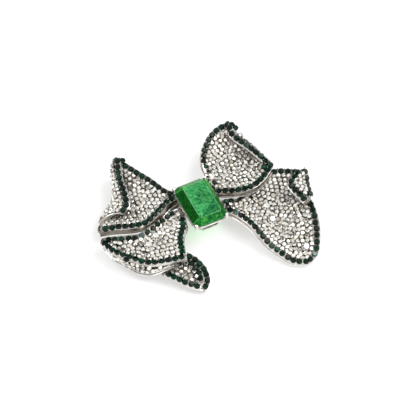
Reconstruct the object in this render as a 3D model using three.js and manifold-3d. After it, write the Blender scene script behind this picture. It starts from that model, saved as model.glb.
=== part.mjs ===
// Bow brooch: four ribbon lobes cast in white metal, paved with clear rhinestones and edged
// with dark green ones, round an emerald-cut centre stone in a four-claw tray. A hinged pin
// stem and a roll-over safety catch hang from a bar on the back.
// Millimetres. +X runs along the bow, +Y up the bow, +Z out of its front; it lies on its back.
import * as THREE from 'three';
import { mergeVertices } from 'three/addons/utils/BufferGeometryUtils.js';
import Module from 'manifold-3d';

const wasm = await Module();
wasm.setup();

// ---- driving dimensions ------------------------------------------------------------------
const CAST = { thick: 1.2, skirt: 2.2, thinEdge: 0.8, wall: 1.0 };
const SOLDER_GAP = 0.05;
const BORDER = { width: 2.2, inset: 1.15, low: 0.2, high: 0.8, pitch: 2.32 };
const BORDER_STONE = { low: 0.5, high: 1.5, girdleR: 1.02, tableR: 0.66, sides: 6 };
const PAVE = { low: 0.2, high: 1.0, margin: 2.85, bareMargin: 0.9 };
const ACCENT = { low: 0.25, high: 1.75, girdleR: 1.5, tableR: 0.9, sides: 8 };

const STONE = {
  halfX: 6.5, halfY: 9.5, corner: 2.2,
  tableX: 4.1, tableY: 7.15, tableCorner: 0.5,
  keelX: 3.4, keelY: 6.4, keelCorner: 0.9,
  keelZ: 8.85, restZ: 10.35, girdleZ: 10.6, tableZ: 12.8,
};
const TRAY = {
  halfX: 6.75, halfY: 9.75, corner: 2.35, wellCorner: 1.8,
  wall: 0.95, stoneClear: 0.15, low: 8.3, floor: 0.4, high: 10.25,
};
const CLAW = { r: 0.62, tipR: 0.55, low: 8.1, shoulder: 10.5, tip: 11.75, out: 0.74, lean: 0.75 };
const BASE = { halfX: 3.8, halfY: 5, corner: 1.2, low: 6.15, high: 8.2 };
const PLATE = { halfX: 4.4, halfY: 8, corner: 1.6, low: 5.3, high: 6.05 };

const PIN = { y: 6, z: 1.9, r: 0.42, tipR: 0.1, tipX: 19.4, taperX: 13.5 };
const HINGE = { x: -15, earR: 1.3, earT: 0.6, earIn: 0.75, boreR: 0.5, foot: 0.55 };
const RIVET = { r: 0.45, headR: 0.85, headT: 0.3, play: 0.08 };
const EYE = { r: 1.15, boreR: 0.5, width: 1.3 };
const BAR = { low: 4.4, high: 5.15, step: 0.35, halfY: 1.1, x0: -17, x1: 17.2, pad: 2.9 };
const CATCH = { x0: 15.6, x1: 17.2, r: 1.75, boreR: 1.25, slot: 1.2 };
const ROLLER = {
  x0: 15.0, x1: 18.2, r: 1.19, boreR: 0.62, slot: 1.1,
  flangeR: 1.5, flangeT: 0.5, tabT: 0.55, tabReach: 2.5, tabHalf: 0.55,
};

// ---- small helpers -----------------------------------------------------------------------
const V = (p) => new THREE.Vector3(p[0], p[1], p[2]);

function curve(points) {
  return new THREE.CatmullRomCurve3(points.map(V), false, 'centripetal');
}

function solidOf(geometry) {
  const g = geometry.clone();
  g.deleteAttribute('normal');
  g.deleteAttribute('uv');
  const m = mergeVertices(g, 1e-4);
  return new wasm.Manifold(new wasm.Mesh({
    numProp: 3,
    vertProperties: new Float32Array(m.attributes.position.array),
    triVerts: new Uint32Array(m.index.array),
  }));
}

// Faces are turned to face out if the listed order has them facing in.
function solidFrom(positions, triangles) {
  const g = new THREE.BufferGeometry();
  g.setAttribute('position', new THREE.Float32BufferAttribute(positions, 3));
  g.setIndex(triangles);
  const solid = solidOf(g);
  if (solid.volume() > 0) return solid;
  g.setIndex([...triangles].reverse());
  return solidOf(g);
}

function geometryOf(solid) {
  const mesh = solid.getMesh();
  const g = new THREE.BufferGeometry();
  g.setAttribute('position', new THREE.BufferAttribute(new Float32Array(mesh.vertProperties), 3));
  g.setIndex(new THREE.BufferAttribute(new Uint32Array(mesh.triVerts), 1));
  g.computeVertexNormals();
  return g;
}

function largest(solid) {
  const pieces = solid.decompose();
  pieces.sort((a, b) => b.volume() - a.volume());
  return pieces[0];
}

// Joins closed rings of equal length into one solid, capped with fans at both ends.
function loft(rings) {
  const n = rings[0].length;
  const positions = [];
  const triangles = [];
  for (const ring of rings) {
    for (const p of ring) positions.push(p.x, p.y, p.z);
  }
  for (let k = 0; k + 1 < rings.length; k += 1) {
    for (let i = 0; i < n; i += 1) {
      const j = (i + 1) % n;
      const a = k * n + i;
      const b = k * n + j;
      triangles.push(a, b, b + n, a, b + n, a + n);
    }
  }
  const last = (rings.length - 1) * n;
  for (let i = 1; i + 1 < n; i += 1) {
    triangles.push(0, i + 1, i);
    triangles.push(last, last + i, last + i + 1);
  }
  return solidFrom(positions, triangles);
}

// A right-handed pair of directions square to an axis.
function square(axis) {
  const side = Math.abs(axis.z) > 0.9 ? new THREE.Vector3(1, 0, 0) : new THREE.Vector3(0, 0, 1);
  const u = side.clone().addScaledVector(axis, -side.dot(axis)).normalize();
  return [u, axis.clone().cross(u)];
}

function ring(centre, axis, radius, sides) {
  const [u, w] = square(axis);
  const out = [];
  for (let i = 0; i < sides; i += 1) {
    const t = (2 * Math.PI * (i + 0.5)) / sides;
    const p = centre.clone().addScaledVector(u, radius * Math.cos(t));
    out.push(p.addScaledVector(w, radius * Math.sin(t)));
  }
  return out;
}

// A round bar of changing radius through a list of [centre, radius].
function taper(stations, sides) {
  const axisAt = (i) => {
    const a = stations[Math.max(0, i - 1)][0];
    const b = stations[Math.min(stations.length - 1, i + 1)][0];
    return b.clone().sub(a).normalize();
  };
  return loft(stations.map(([c, r], i) => ring(c, axisAt(i), r, sides)));
}

function frustum(centre, axis, low, high, lowR, highR, sides) {
  const at = (h) => centre.clone().addScaledVector(axis, h);
  return loft([ring(at(low), axis, lowR, sides), ring(at(high), axis, highR, sides)]);
}

// A rectangle with its corners cut off, as a ring at one height.
function octagon(halfX, halfY, corner, z) {
  const x = halfX - corner;
  const y = halfY - corner;
  return [
    [halfX, -y], [halfX, y], [x, halfY], [-x, halfY],
    [-halfX, y], [-halfX, -y], [-x, -halfY], [x, -halfY],
  ].map(([a, b]) => new THREE.Vector3(a, b, z));
}

function octagonBlock(d, grow = 0) {
  return loft([
    octagon(d.halfX + grow, d.halfY + grow, d.corner, d.low - grow),
    octagon(d.halfX + grow, d.halfY + grow, d.corner, d.high + grow),
  ]);
}

function block(x0, x1, y0, y1, z0, z1) {
  const g = new THREE.BoxGeometry(x1 - x0, y1 - y0, z1 - z0);
  g.translate((x0 + x1) / 2, (y0 + y1) / 2, (z0 + z1) / 2);
  return solidOf(g);
}

// A cylinder along a row axis, centred on [x, y, z].
function rod(axis, centre, radius, length, sides = 24) {
  const dir = { x: [1, 0, 0], y: [0, 1, 0], z: [0, 0, 1] }[axis];
  return frustum(V(centre), V(dir), -length / 2, length / 2, radius, radius, sides);
}

// ---- ribbon surfaces ---------------------------------------------------------------------
// A patch spanned by four edge curves: v = 0 and v = 1 run along u, u = 0 and u = 1 along v.
// Its middle rises by `bulge` along the surface normal.
function patch({ low, high, start, end, bulge = 0, openEnds = false }) {
  const c0 = curve(low);
  const c1 = curve(high);
  const d0 = curve(start);
  const d1 = curve(end);
  for (const c of [c0, c1, d0, d1]) c.arcLengthDivisions = 60;
  const [p00, p10] = [c0.getPointAt(0), c0.getPointAt(1)];
  const [p01, p11] = [c1.getPointAt(0), c1.getPointAt(1)];
  const flat = (u, v) => {
    const p = c0.getPointAt(u).multiplyScalar(1 - v).addScaledVector(c1.getPointAt(u), v);
    p.addScaledVector(d0.getPointAt(v), 1 - u).addScaledVector(d1.getPointAt(v), u);
    p.addScaledVector(p00, -(1 - u) * (1 - v)).addScaledVector(p10, -u * (1 - v));
    return p.addScaledVector(p01, -(1 - u) * v).addScaledVector(p11, -u * v);
  };
  const normalOf = (f, u, v) => {
    const e = 0.02;
    const u0 = Math.max(0, u - e);
    const u1 = Math.min(1, u + e);
    const v0 = Math.max(0, v - e);
    const v1 = Math.min(1, v + e);
    return f(u1, v).sub(f(u0, v)).cross(f(u, v1).sub(f(u, v0))).normalize();
  };
  const at = (u, v) => {
    const p = flat(u, v);
    const rise = bulge * 4 * v * (1 - v) * (openEnds ? 1 : 4 * u * (1 - u));
    return rise === 0 ? p : p.addScaledVector(normalOf(flat, u, v), rise);
  };
  const normal = (u, v) => normalOf(at, u, v);
  const length = (f) => {
    let sum = 0;
    for (let i = 0; i < 12; i += 1) sum += f(i / 12).distanceTo(f((i + 1) / 12));
    return sum;
  };
  return {
    at,
    normal,
    lengthU: (v) => length((t) => at(t, v)),
    lengthV: (u) => length((t) => at(u, t)),
  };
}

// Grid lines that sit close to both edges, then evenly between.
function lines(count, edge) {
  const out = [0];
  for (let i = 0; i < count; i += 1) out.push(edge + ((1 - 2 * edge) * i) / (count - 1));
  out.push(1);
  return out;
}

// A closed slab between two heights over a grid of [point, normal, low, high].
function slab(grid) {
  const rows = grid.length;
  const cols = grid[0].length;
  const positions = [];
  const triangles = [];
  for (const side of ['high', 'low']) {
    for (const row of grid) {
      for (const g of row) {
        const p = g.p.clone().addScaledVector(g.n, g[side]);
        positions.push(p.x, p.y, p.z);
      }
    }
  }
  const id = (layer, r, c) => layer * rows * cols + r * cols + c;
  for (let r = 0; r + 1 < rows; r += 1) {
    for (let c = 0; c + 1 < cols; c += 1) {
      const q = [[r, c], [r + 1, c], [r + 1, c + 1], [r, c + 1]];
      const t = q.map(([a, b]) => id(0, a, b));
      const s = q.map(([a, b]) => id(1, a, b));
      triangles.push(t[0], t[1], t[2], t[0], t[2], t[3]);
      triangles.push(s[0], s[2], s[1], s[0], s[3], s[2]);
    }
  }
  const rim = [];
  for (let r = 0; r + 1 < rows; r += 1) rim.push([r, 0]);
  for (let c = 0; c + 1 < cols; c += 1) rim.push([rows - 1, c]);
  for (let r = rows - 1; r > 0; r -= 1) rim.push([r, cols - 1]);
  for (let c = cols - 1; c > 0; c -= 1) rim.push([0, c]);
  rim.forEach(([r, c], i) => {
    const [r2, c2] = rim[(i + 1) % rim.length];
    const a = id(0, r, c);
    const b = id(0, r2, c2);
    const a2 = id(1, r, c);
    const b2 = id(1, r2, c2);
    triangles.push(a, b2, b, a, a2, b2);
  });
  return solidFrom(positions, triangles);
}

// The cast shell under a patch. `skirts` names the edges that carry a deep outer wall.
function casting(s, { nu, nv, skirts }, grow = 0) {
  const us = lines(nu, CAST.wall / s.lengthU(0.5));
  const vs = lines(nv, CAST.wall / s.lengthV(0.5));
  const edges = (u, v) => [v === 0 && 'low', v === 1 && 'high', u === 0 && 'start', u === 1 && 'end'];
  const depth = (u, v) => {
    const here = edges(u, v).filter(Boolean);
    if (here.some((name) => skirts.includes(name))) return CAST.skirt;
    return here.length ? CAST.thinEdge : CAST.thick;
  };
  return slab(us.map((u) => vs.map((v) => ({
    p: s.at(u, v),
    n: s.normal(u, v),
    high: grow,
    low: -depth(u, v) - grow,
  }))));
}

// The bed of clear stones on a patch, kept clear of its edges by four margins in millimetres.
function paveBed(s, { nu, nv, margins }, grow = 0) {
  const [start, end, low, high] = margins;
  const grid = [];
  for (let i = 0; i <= nu; i += 1) {
    const row = [];
    for (let j = 0; j <= nv; j += 1) {
      const t = j / nv;
      const lengthU = s.lengthU(t);
      const u = start / lengthU + (i / nu) * (1 - (start + end) / lengthU);
      const lengthV = s.lengthV(u);
      const v = low / lengthV + t * (1 - (low + high) / lengthV);
      row.push({ p: s.at(u, v), n: s.normal(u, v), low: PAVE.low - grow, high: PAVE.high + grow });
    }
    grid.push(row);
  }
  return slab(grid);
}

// Points a fixed distance in from one edge of a patch, between two shares of its length.
function track(s, edge, from, to, inset = BORDER.inset) {
  const out = [];
  const steps = 32;
  for (let i = 0; i <= steps; i += 1) {
    const t = from + ((to - from) * i) / steps;
    let uv;
    if (edge === 'low') uv = [t, inset / s.lengthV(t)];
    if (edge === 'high') uv = [t, 1 - inset / s.lengthV(t)];
    if (edge === 'start') uv = [inset / s.lengthU(t), t];
    if (edge === 'end') uv = [1 - inset / s.lengthU(t), t];
    out.push({ p: s.at(...uv), n: s.normal(...uv) });
  }
  return out;
}

// Evenly spaced points and normals along joined tracks.
function resample(points, count) {
  const along = [0];
  for (let i = 1; i < points.length; i += 1) {
    along.push(along[i - 1] + points[i].p.distanceTo(points[i - 1].p));
  }
  const total = along[along.length - 1];
  const out = [];
  for (let k = 0; k < count; k += 1) {
    const d = (total * k) / (count - 1);
    let i = 1;
    while (i < points.length - 1 && along[i] < d) i += 1;
    const f = (d - along[i - 1]) / (along[i] - along[i - 1]);
    out.push({
      p: points[i - 1].p.clone().lerp(points[i].p, f),
      n: points[i - 1].n.clone().lerp(points[i].n, f).normalize(),
    });
  }
  return { total, out };
}

// A row of green stones in a raised channel that follows an edge.
function border(points, grow = 0) {
  const { total } = resample(points, 2);
  const count = Math.max(2, Math.round((total - BORDER.width) / BORDER.pitch) + 1);
  const rail = resample(points, count + 1).out;
  const seats = resample(points, 2 * count + 1).out;
  const rings = rail.map(({ p, n }, i) => {
    const a = rail[Math.max(0, i - 1)].p;
    const b = rail[Math.min(rail.length - 1, i + 1)].p;
    const across = n.clone().cross(b.clone().sub(a)).normalize();
    const corner = (side, h) => p.clone()
      .addScaledVector(across, side * (BORDER.width / 2 + grow))
      .addScaledVector(n, h);
    const low = BORDER.low - grow;
    const high = BORDER.high + grow;
    return [corner(1, low), corner(-1, low), corner(-1, high), corner(1, high)];
  });
  const stones = [];
  for (let k = 0; k < count; k += 1) {
    const { p, n } = seats[2 * k + 1];
    const q = BORDER_STONE;
    stones.push(frustum(p, n, q.low, q.high + grow, q.girdleR + grow, q.tableR + grow, q.sides));
  }
  return wasm.Manifold.union([loft(rings), ...stones]);
}

// ---- the parts list ----------------------------------------------------------------------
const METAL = { color: 0xc9cacc, metalness: 1, roughness: 0.18 };
const GREEN = { color: 0x06301d, metalness: 0, roughness: 0.08 };
const CLEAR = { color: 0xe9eaec, metalness: 0.4, roughness: 0.12 };
const EMERALD = { color: 0x1d8a3c, metalness: 0, roughness: 0.06 };

const made = [];

// A piece that fits its neighbours by its own dimensions.
function addFitted(name, look, build) {
  const grown = build(SOLDER_GAP);
  made.push({ name, look, solid: build(0), grown, box: grown.boundingBox() });
}

// A piece that is cut clear of every piece made before it.
function add(name, look, build) {
  let solid = build(0);
  const box = solid.boundingBox();
  for (const other of made) {
    const b = other.box;
    const apart = [0, 1, 2].some((k) => box.min[k] > b.max[k] || box.max[k] < b.min[k]);
    if (!apart) solid = solid.subtract(other.grown);
  }
  const grown = build(SOLDER_GAP);
  made.push({ name, look, solid: largest(solid), grown, box: grown.boundingBox() });
}

// -- the setting
addFitted('centre_stone', EMERALD, (grow) => loft([
  octagon(STONE.keelX + grow, STONE.keelY + grow, STONE.keelCorner, STONE.keelZ - grow),
  octagon(
    TRAY.halfX - TRAY.wall - TRAY.stoneClear + grow,
    TRAY.halfY - TRAY.wall - TRAY.stoneClear + grow,
    TRAY.wellCorner,
    STONE.restZ,
  ),
  octagon(STONE.halfX + grow, STONE.halfY + grow, STONE.corner, STONE.restZ),
  octagon(STONE.halfX + grow, STONE.halfY + grow, STONE.corner, STONE.girdleZ),
  octagon(STONE.tableX + grow, STONE.tableY + grow, STONE.tableCorner, STONE.tableZ + grow),
]));

addFitted('setting_tray', METAL, (grow) => {
  const outer = octagonBlock(TRAY, grow);
  if (grow > 0) return outer;
  const well = octagonBlock({
    halfX: TRAY.halfX - TRAY.wall,
    halfY: TRAY.halfY - TRAY.wall,
    corner: TRAY.wellCorner,
    low: TRAY.low + TRAY.floor,
    high: TRAY.high + 1,
  });
  return outer.subtract(well);
});

[[1, 1], [-1, 1], [-1, -1], [1, -1]].forEach(([sx, sy], i) => {
  const mid = TRAY.corner / 2;
  const foot = (out, z) => new THREE.Vector3(
    sx * (TRAY.halfX - mid + out * Math.SQRT1_2),
    sy * (TRAY.halfY - mid + out * Math.SQRT1_2),
    z,
  );
  addFitted(`claw_${i + 1}`, METAL, (grow) => taper([
    [foot(CLAW.out, CLAW.low), CLAW.r + grow],
    [foot(CLAW.out, CLAW.shoulder), CLAW.r + grow],
    [foot(CLAW.out - 0.45 * CLAW.lean, (CLAW.shoulder + CLAW.tip) / 2 + 0.1), CLAW.r + grow],
    [foot(CLAW.out - CLAW.lean, CLAW.tip), CLAW.tipR + grow],
    [foot(CLAW.out - 1.2 * CLAW.lean, CLAW.tip + 0.15), 0.4 * CLAW.tipR + grow],
  ], 10));
});

addFitted('setting_base', METAL, (grow) => octagonBlock(BASE, grow));
addFitted('knot_plate', METAL, (grow) => octagonBlock(PLATE, grow));

// -- the pin bar: a flat strip, stepped up at both ends for the hinge and the catch
addFitted('pin_bar', METAL, (grow) => {
  const b = BAR;
  const strip = block(
    b.x0 - grow, b.x1 + grow, PIN.y - b.halfY - grow, PIN.y + b.halfY + grow,
    b.low - grow, b.high + grow,
  );
  if (grow > 0) return strip;
  const rise = b.low + b.step;
  const notch = (x0, x1) => block(x0, x1, PIN.y - 3, PIN.y + 3, b.low - 1, rise);
  return strip.subtract(notch(b.x0 - 1, b.x0 + b.pad + 0.7)).subtract(notch(b.x1 - b.pad, b.x1 + 1));
});

const PAD_TOP = BAR.low + BAR.step - 0.05;

addFitted('hinge_bracket', METAL, (grow) => {
  const h = HINGE;
  const half = h.earIn + h.earT;
  const cheek = block(
    h.x - h.earR - grow, h.x + h.earR + grow, PIN.y - half - grow, PIN.y + half + grow,
    PIN.z, PAD_TOP + grow,
  );
  const round = rod('y', [h.x, PIN.y, PIN.z], h.earR + grow, 2 * (half + grow), 20);
  const body = cheek.add(round);
  if (grow > 0) return body;
  const gap = block(
    h.x - 3, h.x + 3, PIN.y - h.earIn, PIN.y + h.earIn, PIN.z - 3, PAD_TOP - h.foot,
  );
  return body.subtract(gap).subtract(rod('y', [h.x, PIN.y, PIN.z], h.boreR, 6, 20));
});

addFitted('hinge_rivet', METAL, () => {
  const ears = HINGE.earIn + HINGE.earT + RIVET.play;
  const at = (y) => new THREE.Vector3(HINGE.x, PIN.y + y, PIN.z);
  const out = ears + RIVET.headT;
  return taper([
    [at(-out), 0.7 * RIVET.headR], [at(-out + 0.1), RIVET.headR], [at(-ears), RIVET.headR],
    [at(-ears), RIVET.r], [at(ears), RIVET.r],
    [at(ears), RIVET.headR], [at(out - 0.1), RIVET.headR], [at(out), 0.7 * RIVET.headR],
  ], 20);
});

const stemPieces = () => {
  const at = (x) => new THREE.Vector3(x, PIN.y, PIN.z);
  const wire = taper([
    [at(HINGE.x + 0.8), PIN.r], [at(PIN.taperX), PIN.r],
    [at(PIN.tipX - 1.5), 0.7 * PIN.r], [at(PIN.tipX), PIN.tipR],
  ], 12);
  const eye = rod('y', [HINGE.x, PIN.y, PIN.z], EYE.r, EYE.width, 20);
  return wire.add(eye).subtract(rod('y', [HINGE.x, PIN.y, PIN.z], EYE.boreR, 4, 20));
};
addFitted('pin_stem', METAL, () => stemPieces());

addFitted('catch_base', METAL, (grow) => {
  const c = CATCH;
  const mid = (c.x0 + c.x1) / 2;
  const length = c.x1 - c.x0 + 2 * grow;
  const barrel = rod('x', [mid, PIN.y, PIN.z], c.r + grow, length, 24);
  const foot = block(
    c.x0 - grow, c.x1 + grow, PIN.y - BAR.halfY, PIN.y + BAR.halfY,
    PIN.z + c.boreR + 0.2, PAD_TOP + grow,
  );
  const body = barrel.add(foot);
  if (grow > 0) return body;
  const slot = block(c.x0 - 1, c.x1 + 1, PIN.y - c.slot / 2, PIN.y + c.slot / 2, PIN.z - 4, PIN.z);
  return body.subtract(rod('x', [mid, PIN.y, PIN.z], c.boreR, 6, 24)).subtract(slot);
});

const roller = () => {
  const q = ROLLER;
  const mid = (q.x0 + q.x1) / 2;
  const flange = (x) => rod('x', [x, PIN.y, PIN.z], q.flangeR, q.flangeT, 24);
  const tab = block(
    q.x1 - q.tabT, q.x1, PIN.y + 0.9, PIN.y + q.tabReach, PIN.z - q.tabHalf, PIN.z + q.tabHalf,
  );
  const slot = block(q.x0 - 1, q.x1 + 1, PIN.y - q.slot / 2, PIN.y + q.slot / 2, PIN.z - 4, PIN.z);
  return rod('x', [mid, PIN.y, PIN.z], q.r, q.x1 - q.x0, 24)
    .add(flange(q.x0 + q.flangeT / 2)).add(flange(q.x1 - q.flangeT / 2)).add(tab)
    .subtract(rod('x', [mid, PIN.y, PIN.z], q.boreR, 8, 16)).subtract(slot);
};
addFitted('catch_roller', METAL, () => roller());

// -- ribbon lobes. Edge curves are listed by the handful of points that shape them.
const UL = patch({
  low: [
    [-36.0, 7.0, 5.8], [-30.9, 5.1, 6.6], [-26.4, 2.7, 7.6], [-21.2, 1.2, 8.2],
    [-15.5, 3.3, 8.4], [-9.9, 6.4, 8.1], [-4.6, 7.4, 7.5],
  ],
  high: [
    [-17.8, 29.6, 10.6], [-15.9, 26.6, 10.4], [-13.6, 22.6, 9.8],
    [-10.8, 17.8, 9.2], [-8.6, 13.2, 8.4], [-4.6, 8.6, 7.5],
  ],
  start: [
    [-36.0, 7.0, 5.8], [-32.6, 10.8, 5.0], [-25.6, 15.4, 5.8], [-21.2, 23.2, 7.4], [-17.8, 29.6, 10.6],
  ],
  end: [[-4.6, 7.4, 7.5], [-4.6, 8.6, 7.5]],
  bulge: -1.0,
});

const UL_LIP = patch({
  low: [
    [-18.6, 30.8, 9.0], [-20.8, 28.4, 7.0], [-22.2, 24.3, 6.0], [-24.8, 18.8, 5.2],
    [-27.2, 15.8, 4.8], [-31.6, 13.2, 4.6], [-34.8, 9.8, 4.8],
  ],
  high: [
    [-17.3, 29.3, 11.8], [-18.8, 26.2, 11.5], [-20.5, 21.2, 11.2], [-21.3, 16.2, 11.0],
    [-22.4, 11.4, 10.6], [-23.8, 9.2, 10.2], [-26.2, 8.6, 9.6],
  ],
  start: [[-18.6, 30.8, 9.0], [-18.0, 30.4, 10.6], [-17.3, 29.3, 11.8]],
  end: [[-34.8, 9.8, 4.8], [-33.0, 10.2, 6.8], [-29.8, 9.8, 8.5], [-26.2, 8.6, 9.6]],
  bulge: 0.5,
  openEnds: true,
});

const LL = patch({
  low: [
    [-37.6, 2.4, 6.0], [-36.4, -4.0, 7.6], [-34.4, -7.6, 8.2], [-31.4, -11.2, 8.6],
    [-27.6, -15.2, 8.7], [-21.4, -17.6, 9.0], [-14.4, -18.8, 9.0],
  ],
  high: [
    [-36.2, 4.2, 6.0], [-29.8, 0.8, 7.6], [-24.2, -1.4, 8.4], [-19.2, -0.6, 8.6],
    [-14.4, 1.2, 8.4], [-8.8, 2.9, 7.6], [-4.6, 3.0, 7.5],
  ],
  start: [[-37.6, 2.4, 6.0], [-37.2, 3.6, 6.0], [-36.2, 4.2, 6.0]],
  end: [
    [-14.4, -18.8, 9.0], [-13.0, -14.3, 8.8], [-11.3, -9.8, 8.6],
    [-8.2, -5.6, 8.2], [-7.0, -2.4, 7.6], [-4.6, 3.0, 7.5],
  ],
  bulge: -1.4,
});

const LL_BAND = patch({
  low: [
    [-36.6, 2.4, 4.4], [-35.6, -3.6, 4.4], [-32.6, -8.9, 4.1], [-29.7, -13.4, 4.1],
    [-26.6, -15.6, 4.5], [-23.2, -16.5, 5.5], [-18.6, -17.3, 6.6],
  ],
  high: [
    [-37.0, 1.6, 5.0], [-36.0, -3.9, 6.6], [-34.0, -7.5, 7.2], [-31.1, -10.9, 7.6],
    [-27.4, -14.8, 7.7], [-21.5, -17.1, 8.0], [-17.0, -17.8, 8.0],
  ],
  start: [[-36.6, 2.4, 4.4], [-37.0, 1.6, 5.0]],
  end: [[-18.6, -17.3, 6.6], [-17.0, -17.8, 8.0]],
  bulge: 0.4,
});

const LL_FLAP = patch({
  low: [
    [-24.0, -18.0, 4.6], [-21.6, -21.2, 4.3], [-18.8, -24.8, 3.8], [-15.6, -27.7, 3.0],
    [-12.2, -29.6, 2.3],
  ],
  high: [[-21.6, -13.6, 4.8], [-16.8, -13.6, 5.3], [-12.2, -15.2, 6.0]],
  start: [[-24.0, -18.0, 4.6], [-23.0, -15.8, 4.7], [-21.6, -13.6, 4.8]],
  end: [
    [-12.2, -29.6, 2.3], [-9.5, -27.6, 3.1], [-8.5, -23.6, 4.3], [-9.6, -19.2, 5.4],
    [-12.2, -15.2, 6.0],
  ],
  bulge: -0.6,
});

const UR = patch({
  low: [
    [4.6, 3.9, 7.5], [8.2, 3.0, 7.9], [12.0, 0.6, 8.8], [16.2, -1.4, 9.4],
    [20.6, -1.9, 9.8], [24.4, -0.7, 10.0], [29.2, 2.4, 10.2],
  ],
  high: [
    [4.6, 5.8, 7.5], [7.8, 6.4, 8.0], [8.9, 9.2, 8.5], [8.4, 12.6, 9.1], [8.9, 17.4, 9.6],
    [12.3, 22.4, 10.2], [16.6, 25.6, 11.0], [20.8, 26.4, 12.0], [24.6, 25.4, 12.6],
  ],
  start: [[4.6, 3.9, 7.5], [4.6, 5.8, 7.5]],
  end: [
    [29.2, 2.4, 10.2], [28.4, 8.0, 9.4], [26.8, 14.0, 9.4], [25.0, 20.0, 10.2], [24.6, 25.4, 12.6],
  ],
  bulge: -2.2,
});

const UR_LIP = patch({
  low: [
    [29.0, 4.6, 7.8], [27.9, 9.2, 7.5], [26.6, 14.0, 7.7], [25.2, 18.6, 8.4], [24.6, 23.0, 10.0],
  ],
  high: [
    [27.8, 4.6, 11.3], [26.1, 9.6, 11.8], [24.4, 13.8, 12.1], [22.4, 17.8, 12.4],
    [21.4, 21.6, 12.8],
  ],
  start: [[29.0, 4.6, 7.8], [29.2, 4.1, 10.2], [27.8, 4.6, 11.3]],
  end: [[24.6, 23.0, 10.0], [24.2, 23.2, 12.2], [21.4, 21.6, 12.8]],
  bulge: 0.5,
  openEnds: true,
});

const LR = patch({
  low: [
    [4.6, -4.4, 7.5], [7.0, -4.8, 7.4], [9.6, -8.4, 7.6], [12.2, -14.8, 7.6], [13.2, -20.0, 7.0],
    [14.4, -24.2, 5.8], [17.4, -29.4, 3.9], [20.4, -33.2, 2.8], [25.4, -34.8, 2.3],
  ],
  high: [
    [4.6, -1.4, 7.5], [8.8, -0.2, 6.8], [14.0, -0.6, 5.4], [21.0, 2.4, 5.6],
    [30.2, 3.5, 7.6], [34.6, 0.8, 8.6], [38.4, -1.6, 8.8],
  ],
  start: [[4.6, -4.4, 7.5], [4.6, -1.4, 7.5]],
  end: [
    [25.4, -34.8, 2.3], [29.7, -33.2, 3.4], [32.8, -28.6, 5.8], [35.2, -22.4, 8.0],
    [36.2, -16.8, 8.8], [36.5, -9.2, 8.2], [38.4, -1.6, 8.8],
  ],
  bulge: -1.2,
});

const LR_LIP = patch({
  low: [
    [36.1, -14.2, 9.2], [36.9, -11.8, 8.5], [37.8, -9.0, 8.0], [39.2, -5.6, 8.2],
    [39.5, -3.6, 8.8], [38.5, -2.2, 9.6],
  ],
  high: [
    [32.3, -17.2, 11.2], [31.6, -13.8, 11.5], [30.7, -10.6, 11.7], [30.6, -7.4, 11.7],
    [33.2, -5.4, 11.5], [36.8, -3.6, 11.2],
  ],
  start: [[36.1, -14.2, 9.2], [34.8, -16.2, 10.6], [32.3, -17.2, 11.2]],
  end: [[38.5, -2.2, 9.6], [37.9, -2.5, 10.8], [36.8, -3.6, 11.2]],
  bulge: 0.6,
  openEnds: true,
});

const LOBE = { nu: 10, nv: 6, skirts: ['low', 'high'] };
const CORNER_LOBE = { nu: 12, nv: 7, skirts: ['low'] };
const LIP = { nu: 10, nv: 3, skirts: [] };

add('ul_lip_casting', METAL, (g) => casting(UL_LIP, LIP, g));
add('ur_lip_casting', METAL, (g) => casting(UR_LIP, LIP, g));
add('lr_lip_casting', METAL, (g) => casting(LR_LIP, LIP, g));
add('ul_casting', METAL, (g) => casting(UL, LOBE, g));
add('ur_casting', METAL, (g) => casting(UR, { ...LOBE, skirts: ['low'] }, g));
add('ll_casting', METAL, (g) => casting(LL, { ...LOBE, skirts: ['high', 'end'] }, g));
add('lr_casting', METAL, (g) => casting(LR, CORNER_LOBE, g));
add('ll_band_casting', METAL, (g) => casting(LL_BAND, LIP, g));
add('ll_flap_casting', METAL, (g) => casting(LL_FLAP, { ...LOBE, nv: 5, skirts: ['end'] }, g));

// -- larger clear stones let into the pave
[
  [LL, 0.62, 0.7], [LL, 0.56, 0.52], [LR, 0.54, 0.56], [LR, 0.57, 0.37], [LR, 0.88, 0.19],
].forEach(([s, u, v], i) => {
  const p = s.at(u, v);
  const n = s.normal(u, v);
  const a = ACCENT;
  add(`accent_stone_${i + 1}`, CLEAR, (g) => frustum(
    p, n, a.low - g, a.high + g, a.girdleR + g, a.tableR + g, a.sides,
  ));
});

// -- green borders
const edging = (name, ...tracks) => add(name, GREEN, (g) => border(tracks.flat(), g));
edging('ul_lip_border', track(UL_LIP, 'high', 0.02, 0.99));
edging('ul_border_upper', track(UL, 'high', 0.07, 0.88));
edging('ul_border_lower', track(UL, 'low', 0.02, 0.9));
edging('ll_border_crest', track(LL, 'low', 0.03, 0.98));
edging('ll_border_upper', track(LL, 'high', 0.08, 0.88));
edging('ll_border_right', track(LL, 'end', 0.08, 0.8));
edging('ll_flap_border_outer', track(LL_FLAP, 'end', 0.02, 0.97));
edging('ll_flap_border_lower', track(LL_FLAP, 'low', 0.1, 0.84));
edging('ll_flap_border_inner', track(LL_FLAP, 'end', 0.32, 0.86, 3.6));
edging('ur_lip_border', track(UR_LIP, 'high', 0.02, 0.98));
edging('ur_border_left', track(UR, 'high', 0.2, 0.985));
edging('ur_border_lower', track(UR, 'low', 0.12, 0.98));
edging('lr_lip_border_inner', track(LR_LIP, 'high', 0.06, 0.95));
edging('lr_border_lower', track(LR, 'low', 0.09, 0.98));
edging('lr_border_right', track(LR, 'end', 0.02, 0.62));
edging('lr_border_upper', track(LR, 'high', 0.64, 0.98));
edging('lr_border_knot', track(LR, 'high', 0.1, 0.22));
edging('lr_lip_border_outer', track(LR_LIP, 'low', 0.1, 0.96, 1.5));

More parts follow.
